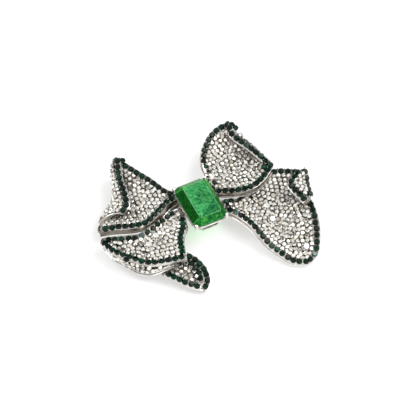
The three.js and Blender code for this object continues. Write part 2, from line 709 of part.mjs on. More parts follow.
// -- beds of clear stones
const M = PAVE.margin;
const B = PAVE.bareMargin;
const bed = (name, s, nu, nv, margins) => add(
  name, CLEAR, (g) => paveBed(s, { nu, nv, margins }, g),
);
bed('ul_pave', UL, 9, 4, [1.2, 6, M + 0.1, M + 0.1]);
bed('ul_lip_pave', UL_LIP, 10, 3, [1, B, B, M]);
bed('ll_pave', LL, 9, 4, [3.2, M, M, M + 0.15]);
bed('ll_band_pave', LL_BAND, 10, 2, [6, 3.5, 0.5, 0.5]);
bed('ll_flap_pave', LL_FLAP, 7, 4, [B, 4.9, M, 2]);
bed('ur_pave', UR, 9, 5, [5.5, 1.6, M, M + 0.3]);
bed('ur_lip_pave', UR_LIP, 10, 2, [B, B, B, M]);
bed('lr_pave', LR, 10, 5, [6, M, M + 0.1, M]);
bed('lr_lip_pave', LR_LIP, 8, 2, [3.4, 2.2, 2.8, M]);

// ---- assembly: the origin is the middle of the underside ---------------------------------
const root = new THREE.Group();
root.name = 'bow_brooch';
const whole = new THREE.Box3();
for (const { solid } of made) {
  const b = solid.boundingBox();
  whole.expandByPoint(V(b.min));
  whole.expandByPoint(V(b.max));
}
const shift = whole.getCenter(new THREE.Vector3()).setZ(whole.min.z).negate();
for (const { name, look, solid } of made) {
  const geometry = geometryOf(solid).translate(shift.x, shift.y, shift.z);
  const mesh = new THREE.Mesh(geometry, new THREE.MeshStandardMaterial(look));
  mesh.name = name;
  root.add(mesh);
}

export default root;
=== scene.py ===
from collections import Counter
from itertools import combinations
import math

import bpy
import numpy as np
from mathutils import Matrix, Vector
from mathutils.bvhtree import BVHTree
from numpy.linalg import norm


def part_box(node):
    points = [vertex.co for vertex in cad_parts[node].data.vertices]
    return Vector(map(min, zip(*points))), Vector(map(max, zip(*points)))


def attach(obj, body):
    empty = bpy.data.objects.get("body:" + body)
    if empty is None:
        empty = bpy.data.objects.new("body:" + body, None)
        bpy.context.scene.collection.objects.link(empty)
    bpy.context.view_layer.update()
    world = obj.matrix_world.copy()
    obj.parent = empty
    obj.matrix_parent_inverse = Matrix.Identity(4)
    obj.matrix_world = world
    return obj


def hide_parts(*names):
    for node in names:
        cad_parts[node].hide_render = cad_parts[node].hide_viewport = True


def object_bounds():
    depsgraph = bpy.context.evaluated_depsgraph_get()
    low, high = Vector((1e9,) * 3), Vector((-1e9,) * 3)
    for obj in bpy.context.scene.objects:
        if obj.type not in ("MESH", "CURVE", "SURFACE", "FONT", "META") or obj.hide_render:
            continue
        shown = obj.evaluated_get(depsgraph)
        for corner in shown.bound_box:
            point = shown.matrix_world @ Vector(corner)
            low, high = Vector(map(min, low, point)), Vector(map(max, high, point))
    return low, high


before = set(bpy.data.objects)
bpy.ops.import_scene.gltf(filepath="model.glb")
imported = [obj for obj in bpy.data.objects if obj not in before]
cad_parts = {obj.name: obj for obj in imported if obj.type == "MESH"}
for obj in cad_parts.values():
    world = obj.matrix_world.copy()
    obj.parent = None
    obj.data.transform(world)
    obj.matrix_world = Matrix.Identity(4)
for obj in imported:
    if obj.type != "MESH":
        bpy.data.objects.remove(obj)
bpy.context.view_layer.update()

MM = 0.001
BODY = "brooch"
RNG = np.random.default_rng(41)

# Sizes below are the part's own, in millimetres, in its drawing frame. SHIFT takes that frame to
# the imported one: the centre stone stands on the drawing's Z axis with its table at TABLE_Z.
TABLE_Z = 12.8
stone_low, stone_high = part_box("centre_stone")
SHIFT = np.array([
    (stone_low[0] + stone_high[0]) / 2, (stone_low[1] + stone_high[1]) / 2, stone_high[2],
]) / MM - [0, 0, TABLE_Z]


def to_metres(points):
    return (np.asarray(points, float) + SHIFT) * MM


# ---- materials ----
# A Mix node has sockets of the same name for each data type, so its colour ones go by number.
MIX_A, MIX_B, MIX_OUT = 6, 7, 2


class Nodes:
    """Small helpers for a node tree."""

    def __init__(self, tree, space):
        self.tree = tree
        self.coord = self.add("ShaderNodeTexCoord").outputs[space]

    def add(self, kind, **values):
        node = self.tree.nodes.new(kind)
        for key, value in values.items():
            setattr(node, key, value)
        return node

    def fill(self, node, **inputs):
        for key, value in inputs.items():
            node.inputs[key.replace("_", " ")].default_value = value
        return node

    def link(self, out, into):
        self.tree.links.new(out, into)

    def noise(self, scale, detail=3.0, rough=0.5, stretch=None):
        node = self.fill(self.add("ShaderNodeTexNoise"), Scale=scale, Detail=detail, Roughness=rough)
        source = self.coord
        if stretch:
            mapping = self.fill(self.add("ShaderNodeMapping"), Scale=stretch)
            self.link(source, mapping.inputs["Vector"])
            source = mapping.outputs["Vector"]
        self.link(source, node.inputs["Vector"])
        return node.outputs["Fac"]

    def ramp(self, source, stops):
        node = self.add("ShaderNodeValToRGB")
        elements = node.color_ramp.elements
        while len(elements) < len(stops):
            elements.new(0.5)
        for element, (place, color) in zip(elements, stops):
            element.position = place
            element.color = (*color, 1.0)
        self.link(source, node.inputs["Fac"])
        return node.outputs["Color"]

    def mask(self, source, stops):
        """A ramp of greys, with one value for each stop."""
        return self.ramp(source, [(place, (value, value, value)) for place, value in stops])

    def span(self, source, low, high, from_low=0.3, from_high=0.7, kind="LINEAR"):
        node = self.add("ShaderNodeMapRange", interpolation_type=kind)
        self.fill(node, From_Min=from_low, From_Max=from_high, To_Min=low, To_Max=high)
        self.link(source, node.inputs["Value"])
        return node.outputs["Result"]

    def mix(self, factor, a, b, blend="MIX"):
        node = self.add("ShaderNodeMix", data_type="RGBA", blend_type=blend)
        sockets = (node.inputs["Factor"], node.inputs[MIX_A], node.inputs[MIX_B])
        for socket, value in zip(sockets, (factor, a, b)):
            if isinstance(value, float):
                socket.default_value = value
            elif isinstance(value, tuple):
                socket.default_value = (*value, 1.0)
            else:
                self.link(value, socket)
        return node.outputs[MIX_OUT]

    def multiply(self, a, b):
        return self.mix(1.0, a, b, "MULTIPLY")

    def dot(self, vector):
        node = self.add("ShaderNodeVectorMath", operation="DOT_PRODUCT")
        node.inputs[1].default_value = vector
        self.link(self.coord, node.inputs[0])
        return node.outputs["Value"]

    def attribute(self, name):
        return self.add("ShaderNodeAttribute", attribute_name=name).outputs["Fac"]


class Material(Nodes):
    """A Principled material whose textures lie in the object's own space."""

    def __init__(self, name):
        self.mat = bpy.data.materials.new(name)
        self.mat.use_nodes = True
        super().__init__(self.mat.node_tree, "Object")
        self.bsdf = self.tree.nodes["Principled BSDF"]

    def bump(self, height, distance, strength):
        node = self.fill(self.add("ShaderNodeBump"), Distance=distance, Strength=strength)
        self.link(height, node.inputs["Height"])
        self.link(node.outputs["Normal"], self.bsdf.inputs["Normal"])

    def set(self, **values):
        for key, value in values.items():
            socket = self.bsdf.inputs[key.replace("_", " ")]
            if isinstance(value, bpy.types.NodeSocket):
                self.link(value, socket)
            else:
                socket.default_value = (*value, 1.0) if isinstance(value, tuple) else value


def rhodium():
    """The castings' own plating, with fine scratches."""
    n = Material("rhodium")
    cloud = n.noise(180.0, 4.0)
    scratch = n.noise(900.0, 2.0, stretch=(1.0, 0.12, 1.0))
    color = n.ramp(cloud, [(0.3, (0.40, 0.37, 0.335)), (0.62, (0.66, 0.63, 0.59))])
    n.set(Base_Color=color, Metallic=1.0, Roughness=n.span(scratch, 0.12, 0.3))
    n.bump(scratch, 0.00002, 0.5)
    return n.mat


def plating(name, scale, detail, stops, rough):
    """Plated metal whose colour and roughness follow one thin cloudy film."""
    n = Material(name)
    film = n.noise(scale, detail)
    n.set(Base_Color=n.ramp(film, stops), Metallic=1.0, Roughness=n.span(film, *rough))
    return n.mat


def seat_metal():
    """The plated metal between the stones, painted near black as painted shade in the seats, patchy at
    random.
    """
    n = Material("seat_metal")
    patchy_shade = n.noise(700.0, 5.0, 0.6)
    color = n.ramp(
        patchy_shade,
        [(0.32, (0.012, 0.009, 0.006)), (0.5, (0.04, 0.031, 0.023)), (0.7, (0.15, 0.125, 0.10))],
    )
    n.set(Base_Color=color, Metallic=0.9, Roughness=n.span(patchy_shade, 0.5, 0.22))
    n.bump(patchy_shade, 0.00006, 0.6)
    return n.mat


# A stone's material reads two values from its mesh: `facet`, how much light a face is painted as
# sending back, a painted reflection in its colour, and `tint`, one number for each stone, which sets
# its warmth or its brightness.
def clear_stone():
    """Foil-backed clear glass with painted reflections: some facets painted white as flashes, some dark as
    the foil.
    """
    n = Material("clear_stone")
    facet, tint = n.attribute("facet"), n.attribute("tint")
    base = n.ramp(
        facet,
        [(0.0, (0.03, 0.026, 0.02)), (0.12, (0.16, 0.14, 0.12)), (0.22, (0.60, 0.58, 0.55)),
         (0.34, (0.96, 0.96, 0.96)), (1.0, (1.0, 1.0, 1.0))],
    )
    warm = n.ramp(tint, [(0.0, (0.80, 0.75, 0.64)), (0.3, (0.93, 0.91, 0.84)), (1.0, (1.0, 0.99, 0.94))])
    n.set(Base_Color=n.multiply(base, warm), Metallic=0.4, Roughness=n.span(facet, 0.12, 0.04, 0.0, 1.0))
    n.set(Coat_Weight=1.0, Coat_Roughness=0.02, Coat_IOR=1.7)
    return n.mat


def green_stone():
    n = Material("green_stone")
    facet, tint = n.attribute("facet"), n.attribute("tint")
    # painted reflections: each facet runs from near black to green by its `facet` value
    base = n.ramp(
        facet,
        [(0.0, (0.0005, 0.003, 0.002)), (0.5, (0.001, 0.011, 0.006)), (0.85, (0.003, 0.04, 0.02)),
         (1.0, (0.010, 0.12, 0.055))],
    )
    grey = n.ramp(tint, [(0.0, (0.6, 0.6, 0.6)), (0.8, (1.0, 1.0, 1.0)), (0.95, (1.3, 1.8, 1.6))])
    n.set(Base_Color=n.multiply(base, grey), Roughness=n.span(facet, 0.03, 0.1, 0.0, 1.0), IOR=1.5)
    n.set(Specular_IOR_Level=0.22)
    return n.mat


def old_stone(name, stops, metallic):
    """A stone whose foil has gone or has turned."""
    n = Material(name)
    facet = n.attribute("facet")
    # painted reflections: the colour follows each facet's `facet` value
    n.set(Base_Color=n.ramp(facet, stops), Metallic=metallic)
    n.set(Roughness=n.span(facet, 0.05, 0.15, 0.0, 1.0), IOR=1.6)
    return n.mat


def painted_shade_plane():
    """The upright plane on a line across the table, past which the stone is darkened as painted shade."""
    start, stop = to_metres([-3.2, -7.4, 0.0]), to_metres([4.55, -1.6, 0.0])
    way = Vector((stop - start)[:2]).normalized()
    return (way.y, -way.x, 0.0), way.y * start[0] - way.x * start[1]


def emerald():
    """Green glass with clouds and strands in it. `facet` is the painted light and shade of each face."""
    n = Material("emerald")
    swirl = n.noise(150.0, 2.0)
    cloud = n.noise(480.0, 8.0, 0.7)
    strands = n.mask(n.noise(560.0, 3.0, 0.6), [(0.44, 0.0), (0.5, 0.8), (0.55, 0.0)])
    # `depth` carries each face's painted light and shade
    depth = n.attribute("facet")
    body = n.ramp(
        cloud,
        [(0.33, (0.008, 0.12, 0.03)), (0.46, (0.02, 0.19, 0.055)), (0.56, (0.036, 0.27, 0.08)),
         (0.68, (0.09, 0.44, 0.14))],
    )
    body = n.mix(strands, body, (0.13, 0.50, 0.16))
    light = n.mask(swirl, [(0.35, 0.72), (0.65, 1.25)])
    # painted light and shade: each face is paler or darker by that value
    facet_shading = n.ramp(depth, [(0.0, (0.02, 0.25, 0.05)), (0.5, (0.28, 0.74, 0.24)), (1.0, (0.78, 0.87, 0.86))])
    color = n.multiply(n.multiply(body, light), facet_shading)
    # painted glints: lime flecks on the one bevel whose value lies between these stops
    near = n.mask(depth, [(0.66, 0.0), (0.7, 1.0), (0.75, 1.0), (0.79, 0.0)])
    painted_glints = n.mask(n.noise(640.0, 3.0, 0.6), [(0.52, 0.0), (0.62, 0.8)])
    color = n.mix(n.multiply(near, painted_glints), color, (0.12, 0.55, 0.07))
    # painted shade: the stone is darker past that line
    normal, distance = painted_shade_plane()
    soft = 0.12 * MM
    shaded_side = n.span(n.dot(normal), 0.0, 1.0, distance - soft, distance + soft)
    color = n.multiply(color, n.ramp(shaded_side, [(0.0, (1.0, 1.0, 1.0)), (1.0, (0.5, 0.62, 0.62))]))
    n.set(Base_Color=color, Roughness=n.span(cloud, 0.03, 0.07), IOR=1.5)
    n.set(Specular_IOR_Level=0.08)
    return n.mat


def emerald_edge_highlight():
    """The narrow polished edges between the big facets, coloured paler green as a painted highlight."""
    n = Material("emerald_edge_highlight")
    patchy_highlight = n.noise(500.0)
    color = n.ramp(patchy_highlight, [(0.35, (0.03, 0.26, 0.07)), (0.65, (0.22, 0.55, 0.30))])
    n.set(Base_Color=color, Roughness=n.span(patchy_highlight, 0.1, 0.25), IOR=1.5)
    return n.mat


def floor_paper():
    """Translucent paper over a light table, which keeps the shadows pale."""
    n = Material("floor_paper")
    color = n.ramp(n.noise(6.0, 2.0), [(0.3, (0.61, 0.61, 0.605)), (0.7, (0.63, 0.63, 0.625))])
    n.set(Base_Color=color, Roughness=0.7, Emission_Color=(1.0, 1.0, 0.995), Emission_Strength=0.4)
    return n.mat


METAL = rhodium()
# polished edges, rails and claws, painted lighter than the castings as a painted highlight
HIGHLIGHT_METAL = plating(
    "highlight_metal", 400.0, 3.0, [(0.3, (0.70, 0.67, 0.63)), (0.6, (0.90, 0.88, 0.86))], (0.2, 0.1),
)
SEAT = seat_metal()
# the ribbons' deeper walls, the channel tops and the toe rail, painted dark as painted shade
PAINTED_SHADE = plating(
    "painted_shade_metal", 260.0, 4.0, [(0.3, (0.13, 0.115, 0.095)), (0.65, (0.30, 0.275, 0.24))], (0.18, 0.32),
)
# the small prongs between the clear stones, painted darker than the castings as painted shade
BEAD = plating(
    "bead_metal", 1200.0, 3.0, [(0.3, (0.30, 0.27, 0.235)), (0.6, (0.60, 0.575, 0.54))], (0.28, 0.12),
)
CLEAR = clear_stone()
GREEN = green_stone()
AMBER = old_stone("amber_stone", [(0.0, (0.12, 0.05, 0.005)), (1.0, (0.62, 0.36, 0.05))], 0.4)
PALE = old_stone(
    "pale_stone", [(0.0, (0.015, 0.04, 0.035)), (0.5, (0.08, 0.14, 0.13)), (1.0, (0.40, 0.47, 0.46))], 0.3,
)
EMERALD = emerald()
EMERALD_EDGE_HIGHLIGHT = emerald_edge_highlight()


# ---- mesh helpers ----
def new_object(name, data):
    obj = bpy.data.objects.new(name, data)
    bpy.context.collection.objects.link(obj)
    return obj


class Shape:
    """Collects faces in millimetres, with a material index, a facet and a tint value for each."""

    def __init__(self):
        self.count = 0
        self.verts, self.faces = [], []
        self.looks, self.facets, self.tints = [], [], []

    def add(self, verts, faces, look=0, facets=None, tint=0.5):
        verts = np.asarray(verts, float)
        self.verts.append(verts)
        self.faces += [[i + self.count for i in f] for f in faces]
        self.looks += [look] * len(faces) if isinstance(look, int) else look
        self.facets += [0.5] * len(faces) if facets is None else list(facets)
        self.tints += [tint] * len(faces)
        self.count += len(verts)

    def build(self, name, materials, slot, sharp):
        mesh = bpy.data.meshes.new(name)
        mesh.from_pydata(to_metres(np.concatenate(self.verts)), [], self.faces)
        mesh.validate()
        for material in materials:
            mesh.materials.append(material)
        mesh.polygons.foreach_set("material_index", self.looks)
        for key, values in (("facet", self.facets), ("tint", self.tints)):
            layer = mesh.attributes.new(key, "FLOAT", "FACE")
            layer.data.foreach_set("value", values)
        shade(mesh, sharp)
        obj = new_object(name, mesh)
        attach(obj, BODY)
        return obj


def shade(mesh, sharp):
    """Smooth shading with edges over `sharp` degrees kept sharp, or flat shading at 0."""
    mesh.polygons.foreach_set("use_smooth", [sharp > 0] * len(mesh.polygons))
    if sharp > 0:
        mesh.set_sharp_from_angle(angle=math.radians(sharp))
    mesh.update()


def basis(normal, along=(1.0, 0.3, 0.1)):
    """Three axes as rows: x near `along`, then y, then z on the normal."""
    z = normal / norm(normal)
    x = along - z * (along @ z)
    x /= norm(x)
    return np.array([x, np.cross(z, x), z])


def ring(radius, height, count, turn=0.0):
    """Points round the Z axis, turned by a share of the step between two of them."""
    angles = [2 * math.pi * (k + turn) / count for k in range(count)]
    return np.array([[radius * math.cos(a), radius * math.sin(a), height] for a in angles])


def loft(rings, closed=False):
    """Skins rings of equal length. `closed` joins the last to the first, and else both are capped."""
    n = len(rings[0])
    verts = np.concatenate([np.asarray(r, float) for r in rings])
    faces = []
    for i in range(len(rings) - (0 if closed else 1)):
        j = (i + 1) % len(rings)
        for k in range(n):
            m = (k + 1) % n
            faces.append([i * n + k, i * n + m, j * n + m, j * n + k])
    if not closed:
        faces.append(list(range(n))[::-1])
        faces.append([(len(rings) - 1) * n + k for k in range(n)])
    return verts, faces


def slab(top, bottom):
    """A closed sheet between two grids of points: its vertices, top, underside and side faces."""
    rows, cols = top.shape[:2]
    count = rows * cols
    upper = [
        [r * cols + c, (r + 1) * cols + c, (r + 1) * cols + c + 1, r * cols + c + 1]
        for r in range(rows - 1) for c in range(cols - 1)
    ]
    lower = [[k + count for k in f][::-1] for f in upper]
    loop = [r * cols for r in range(rows - 1)] + [(rows - 1) * cols + c for c in range(cols - 1)]
    loop += [r * cols + cols - 1 for r in range(rows - 1, 0, -1)] + list(range(cols - 1, 0, -1))
    sides = [[b, a, a + count, b + count] for a, b in zip(loop, loop[1:] + loop[:1])]
    return np.concatenate([top.reshape(-1, 3), bottom.reshape(-1, 3)]), upper, lower, sides


def tube(points, radius, sides=8):
    """A round wire through points in millimetres. Radius may be one number or one for each point."""
    p = np.asarray(points, float)
    radii = np.broadcast_to(radius, len(p))
    tangent = np.gradient(p, axis=0)
    tangent /= norm(tangent, axis=1)[:, None]
    side = np.cross(tangent[0], [0.0, 0.0, 1.0])
    if norm(side) < 0.1:
        side = np.cross(tangent[0], [0.0, 1.0, 0.0])
    angles = [2 * math.pi * k / sides for k in range(sides)]
    rings = []
    for centre, way, r in zip(p, tangent, radii):
        side = side - way * (side @ way)
        side /= norm(side)
        other = np.cross(way, side)
        rings.append([centre + r * (math.cos(a) * side + math.sin(a) * other) for a in angles])
    return loft(rings)


EIGHTHS = 8


def brilliant(girdle, table, low, waist, top):
    """A round cut stone: table, star, kite and upper-half facets, then a straight girdle."""
    mid_r = table + 0.52 * (girdle - table)
    mid_z = top - 0.40 * (top - waist)
    n, rim = EIGHTHS, 2 * EIGHTHS
    verts = np.concatenate([
        ring(table, top, n), ring(mid_r, mid_z, n, 0.5), ring(girdle, waist, rim), ring(girdle, low, rim),
    ])
    m, g, h = n, 2 * n, 4 * n
    faces = [list(range(n))]
    for k in range(n):
        faces.append([k, m + k, (k + 1) % n])
        faces.append([k, m + (k - 1) % n, g + 2 * k, m + k])
        faces.append([m + k, g + 2 * k, g + 2 * k + 1])
        faces.append([m + k, g + 2 * k + 1, g + (2 * k + 2) % rim])
    for k in range(rim):
        after = (k + 1) % rim
        faces.append([g + k, h + k, h + after, g + after])
    faces.append([h + k for k in range(rim)][::-1])
    return verts, faces


def per_facet(table, crown, rest):
    """A value for each face of a brilliant. `crown` has the star, the kite and two outer facets."""
    return [table] + crown * EIGHTHS + [rest] * (2 * EIGHTHS + 1)


def dome(sides=6, rings=2):
    """Unit half ball with a short skirt, for prongs."""
    rise = [math.pi / 2 * k / (rings + 0.6) for k in range(1, rings + 1)]
    levels = [(1.0, -1.0), (1.0, 0.0)] + [(math.cos(a), math.sin(a)) for a in rise]
    verts, faces = loft([ring(r, z, sides) for r, z in levels])
    walls, foot, last = faces[:-2], faces[-2], faces[-1]
    tip = len(verts)
    fan = [[a, b, tip] for a, b in zip(last, last[1:] + last[:1])]
    return np.concatenate([verts, [[0.0, 0.0, 1.0]]]), walls + fan + [foot]


PRONG = dome()


def put(shape, template, p, axes, look=0, facets=None, tint=0.5, scale=(1.0, 1.0, 1.0)):
    """Adds a template at a point, with its own axes as the rows of `axes`."""
    verts, faces = template
    shape.add(p + (verts * np.array(scale)) @ axes, faces, look, facets, tint)


def ring_of_prongs(shape, foot, axes, look, count, turn, out, scale):
    """Prongs round a stone, at a distance `out` from the middle of their ring."""
    for k in range(count):
        a = 2 * math.pi * k / count + turn
        arm = math.cos(a) * axes[0] + math.sin(a) * axes[1]
        put(shape, PRONG, foot + out * arm, axes, look, scale=scale)


# ---- ribbon surfaces: the same edge curves as the CAD part ----
def distances(points):
    """How far along a line each of its points lies."""
    return np.concatenate([[0], np.cumsum(norm(np.diff(points, axis=0), axis=1))])


class Curve:
    """A centripetal Catmull-Rom curve, read by its share of length."""

    def __init__(self, points, samples=240):
        p = np.asarray(points, float)
        p = np.concatenate([[2 * p[0] - p[1]], p, [2 * p[-1] - p[-2]]])
        spans = len(p) - 3
        out = []
        for t in np.linspace(0, spans, samples):
            i = min(int(t), spans - 1)
            out.append(self.point(p[i:i + 4], t - i))
        self.p = np.array(out)
        self.s = distances(self.p)
        self.s /= self.s[-1]

    @staticmethod
    def point(q, w):
        d = [max(norm(q[k + 1] - q[k]), 1e-8) ** 0.5 for k in range(3)]
        m1 = ((q[1] - q[0]) / d[0] - (q[2] - q[0]) / (d[0] + d[1]) + (q[2] - q[1]) / d[1]) * d[1]
        m2 = ((q[2] - q[1]) / d[1] - (q[3] - q[1]) / (d[1] + d[2]) + (q[3] - q[2]) / d[2]) * d[1]
        a = 2 * q[1] - 2 * q[2] + m1 + m2
        b = -3 * q[1] + 3 * q[2] - 2 * m1 - m2
        return a * w ** 3 + b * w ** 2 + m1 * w + q[1]

    def at(self, u):
        return np.stack([np.interp(u, self.s, self.p[:, k]) for k in range(3)], -1)


class Patch:
    """A surface spanned by four edge curves, with a bulge along its normal. `low` and `high` run
    along it, and `start` and `end` give what lies between their ends on the way across."""

    def __init__(self, low, high, start=(), end=(), bulge=0.0, open_ends=False):
        across = [[low[0], *start, high[0]], [low[-1], *end, high[-1]]]
        self.c = [Curve(x) for x in (low, high, *across)]
        self.bulge = bulge
        self.open_ends = open_ends
        self.corner = [self.c[0].at(0.0), self.c[0].at(1.0), self.c[1].at(0.0), self.c[1].at(1.0)]

    def flat(self, u, v):
        u, v = np.broadcast_arrays(u, v)
        c0, c1, d0, d1 = self.c
        uu, vv = u[..., None], v[..., None]
        p = c0.at(u) * (1 - vv) + c1.at(u) * vv + d0.at(v) * (1 - uu) + d1.at(v) * uu
        p00, p10, p01, p11 = self.corner
        p = p - p00 * (1 - uu) * (1 - vv) - p10 * uu * (1 - vv)
        return p - p01 * (1 - uu) * vv - p11 * uu * vv

    @staticmethod
    def normal_of(f, u, v):
        e = 0.02
        du = f(np.minimum(1, u + e), v) - f(np.maximum(0, u - e), v)
        dv = f(u, np.minimum(1, v + e)) - f(u, np.maximum(0, v - e))
        n = np.cross(du, dv)
        return n / (norm(n, axis=-1)[..., None] + 1e-12)

    def at(self, u, v):
        u, v = np.broadcast_arrays(u, v)
        rise = self.bulge * 4 * v * (1 - v)
        if not self.open_ends:
            rise = rise * 4 * u * (1 - u)
        return self.flat(u, v) + rise[..., None] * self.normal_of(self.flat, u, v)

    def normal(self, u, v):
        return self.normal_of(self.at, *np.broadcast_arrays(u, v))

    def length_u(self, v):
        p = self.at(np.linspace(0, 1, 25), np.asarray(v, float)[..., None])
        return norm(np.diff(p, axis=-2), axis=-1).sum(-1)

    def length_v(self, u):
        p = self.at(np.asarray(u, float)[..., None], np.linspace(0, 1, 25))
        return norm(np.diff(p, axis=-2), axis=-1).sum(-1)


UL = Patch(
    low=[
        [-36, 7, 5.8], [-30.9, 5.1, 6.6], [-26.4, 2.7, 7.6], [-21.2, 1.2, 8.2], [-15.5, 3.3, 8.4],
        [-9.9, 6.4, 8.1], [-4.6, 7.4, 7.5],
    ],
    high=[
        [-17.8, 29.6, 10.6], [-15.9, 26.6, 10.4], [-13.6, 22.6, 9.8], [-10.8, 17.8, 9.2],
        [-8.6, 13.2, 8.4], [-4.6, 8.6, 7.5],
    ],
    start=[[-32.6, 10.8, 5], [-25.6, 15.4, 5.8], [-21.2, 23.2, 7.4]],
    bulge=-1,
)
UL_LIP = Patch(
    low=[
        [-18.6, 30.8, 9], [-20.8, 28.4, 7], [-22.2, 24.3, 6], [-24.8, 18.8, 5.2],
        [-27.2, 15.8, 4.8], [-31.6, 13.2, 4.6], [-34.8, 9.8, 4.8],
    ],
    high=[
        [-17.3, 29.3, 11.8], [-18.8, 26.2, 11.5], [-20.5, 21.2, 11.2], [-21.3, 16.2, 11],
        [-22.4, 11.4, 10.6], [-23.8, 9.2, 10.2], [-26.2, 8.6, 9.6],
    ],
    start=[[-18, 30.4, 10.6]],
    end=[[-33, 10.2, 6.8], [-29.8, 9.8, 8.5]],
    bulge=0.5, open_ends=True,
)
LL = Patch(
    low=[
        [-37.6, 2.4, 6], [-36.4, -4, 7.6], [-34.4, -7.6, 8.2], [-31.4, -11.2, 8.6],
        [-27.6, -15.2, 8.7], [-21.4, -17.6, 9], [-14.4, -18.8, 9],
    ],
    high=[
        [-36.2, 4.2, 6], [-29.8, 0.8, 7.6], [-24.2, -1.4, 8.4], [-19.2, -0.6, 8.6], [-14.4, 1.2, 8.4],
        [-8.8, 2.9, 7.6], [-4.6, 3, 7.5],
    ],
    start=[[-37.2, 3.6, 6]],
    end=[[-13, -14.3, 8.8], [-11.3, -9.8, 8.6], [-8.2, -5.6, 8.2], [-7, -2.4, 7.6]],
    bulge=-1.4,
)
LL_BAND = Patch(
    low=[
        [-36.6, 2.4, 4.4], [-35.6, -3.6, 4.4], [-32.6, -8.9, 4.1], [-29.7, -13.4, 4.1],
        [-26.6, -15.6, 4.5], [-23.2, -16.5, 5.5], [-18.6, -17.3, 6.6],
    ],
    high=[
        [-37, 1.6, 5], [-36, -3.9, 6.6], [-34, -7.5, 7.2], [-31.1, -10.9, 7.6],
        [-27.4, -14.8, 7.7], [-21.5, -17.1, 8], [-17, -17.8, 8],
    ],
    bulge=0.4,
)
LL_FLAP = Patch(
    low=[
        [-24, -18, 4.6], [-21.6, -21.2, 4.3], [-18.8, -24.8, 3.8], [-15.6, -27.7, 3],
        [-12.2, -29.6, 2.3],
    ],
    high=[[-21.6, -13.6, 4.8], [-16.8, -13.6, 5.3], [-12.2, -15.2, 6]],
    start=[[-23, -15.8, 4.7]],
    end=[[-9.5, -27.6, 3.1], [-8.5, -23.6, 4.3], [-9.6, -19.2, 5.4]],
    bulge=-0.6,
)
UR = Patch(
    low=[
        [4.6, 3.9, 7.5], [8.2, 3, 7.9], [12, 0.6, 8.8], [16.2, -1.4, 9.4], [20.6, -1.9, 9.8],
        [24.4, -0.7, 10], [29.2, 2.4, 10.2],
    ],
    high=[
        [4.6, 5.8, 7.5], [7.8, 6.4, 8], [8.9, 9.2, 8.5], [8.4, 12.6, 9.1], [8.9, 17.4, 9.6],
        [12.3, 22.4, 10.2], [16.6, 25.6, 11], [20.8, 26.4, 12], [24.6, 25.4, 12.6],
    ],
    end=[[28.4, 8, 9.4], [26.8, 14, 9.4], [25, 20, 10.2]],
    bulge=-2.2,
)
UR_LIP = Patch(
    low=[[29, 4.6, 7.8], [27.9, 9.2, 7.5], [26.6, 14, 7.7], [25.2, 18.6, 8.4], [24.6, 23, 10]],
    high=[
        [27.8, 4.6, 11.3], [26.1, 9.6, 11.8], [24.4, 13.8, 12.1], [22.4, 17.8, 12.4], [21.4, 21.6, 12.8],
    ],
    start=[[29.2, 4.1, 10.2]],
    end=[[24.2, 23.2, 12.2]],
    bulge=0.5, open_ends=True,
)
LR = Patch(
    low=[
        [4.6, -4.4, 7.5], [7, -4.8, 7.4], [9.6, -8.4, 7.6], [12.2, -14.8, 7.6], [13.2, -20, 7],
        [14.4, -24.2, 5.8], [17.4, -29.4, 3.9], [20.4, -33.2, 2.8], [25.4, -34.8, 2.3],
    ],
    high=[
        [4.6, -1.4, 7.5], [8.8, -0.2, 6.8], [14, -0.6, 5.4], [21, 2.4, 5.6], [30.2, 3.5, 7.6],
        [34.6, 0.8, 8.6], [38.4, -1.6, 8.8],
    ],
    end=[
        [29.7, -33.2, 3.4], [32.8, -28.6, 5.8], [35.2, -22.4, 8], [36.2, -16.8, 8.8],
        [36.5, -9.2, 8.2],
    ],
    bulge=-1.2,
)
LR_LIP = Patch(
    low=[
        [36.1, -14.2, 9.2], [36.9, -11.8, 8.5], [37.8, -9, 8], [39.2, -5.6, 8.2], [39.5, -3.6, 8.8],
        [38.5, -2.2, 9.6],
    ],
    high=[
        [32.3, -17.2, 11.2], [31.6, -13.8, 11.5], [30.7, -10.6, 11.7], [30.6, -7.4, 11.7],
        [33.2, -5.4, 11.5], [36.8, -3.6, 11.2],
    ],
    start=[[34.8, -16.2, 10.6]],
    end=[[37.9, -2.5, 10.8]],
    bulge=0.6, open_ends=True,
)

# ---- lines along an edge of a patch ----
EDGE_INSET = 1.05


def track(s, edge, start, stop, inset=EDGE_INSET, samples=65):
    """Points and normals along an edge, kept `inset` inside it."""
    t = np.linspace(start, stop, samples)
    if edge in ("low", "high"):
        v = inset / s.length_v(t)
        uv = (t, v if edge == "low" else 1 - v)
    else:
        u = inset / s.length_u(t)
        uv = (u if edge == "start" else 1 - u, t)
    return s.at(*uv), s.normal(*uv)


# ---- castings ----
# A sheet has a thick middle, a thin edge as wide as `wall`, and a rounded rim. A deeper wall has a
# wire near its lip and its foot, as (distance from that edge, radius).
SHELL = {
    "thick": 1.2, "thin": 0.8, "wall": 0.9, "round": 0.16, "lip": (0.12, 0.17), "foot": (0.18, 0.24),
}


def grid_lines(count, edge):
    """Places across a sheet, from 0 to 1: three at each rim and `count` over the middle."""
    rim, inner = edge * 0.12, edge * 1.06
    return np.concatenate([[0, rim, edge], np.linspace(inner, 1 - inner, count), [1 - edge, 1 - rim, 1]])


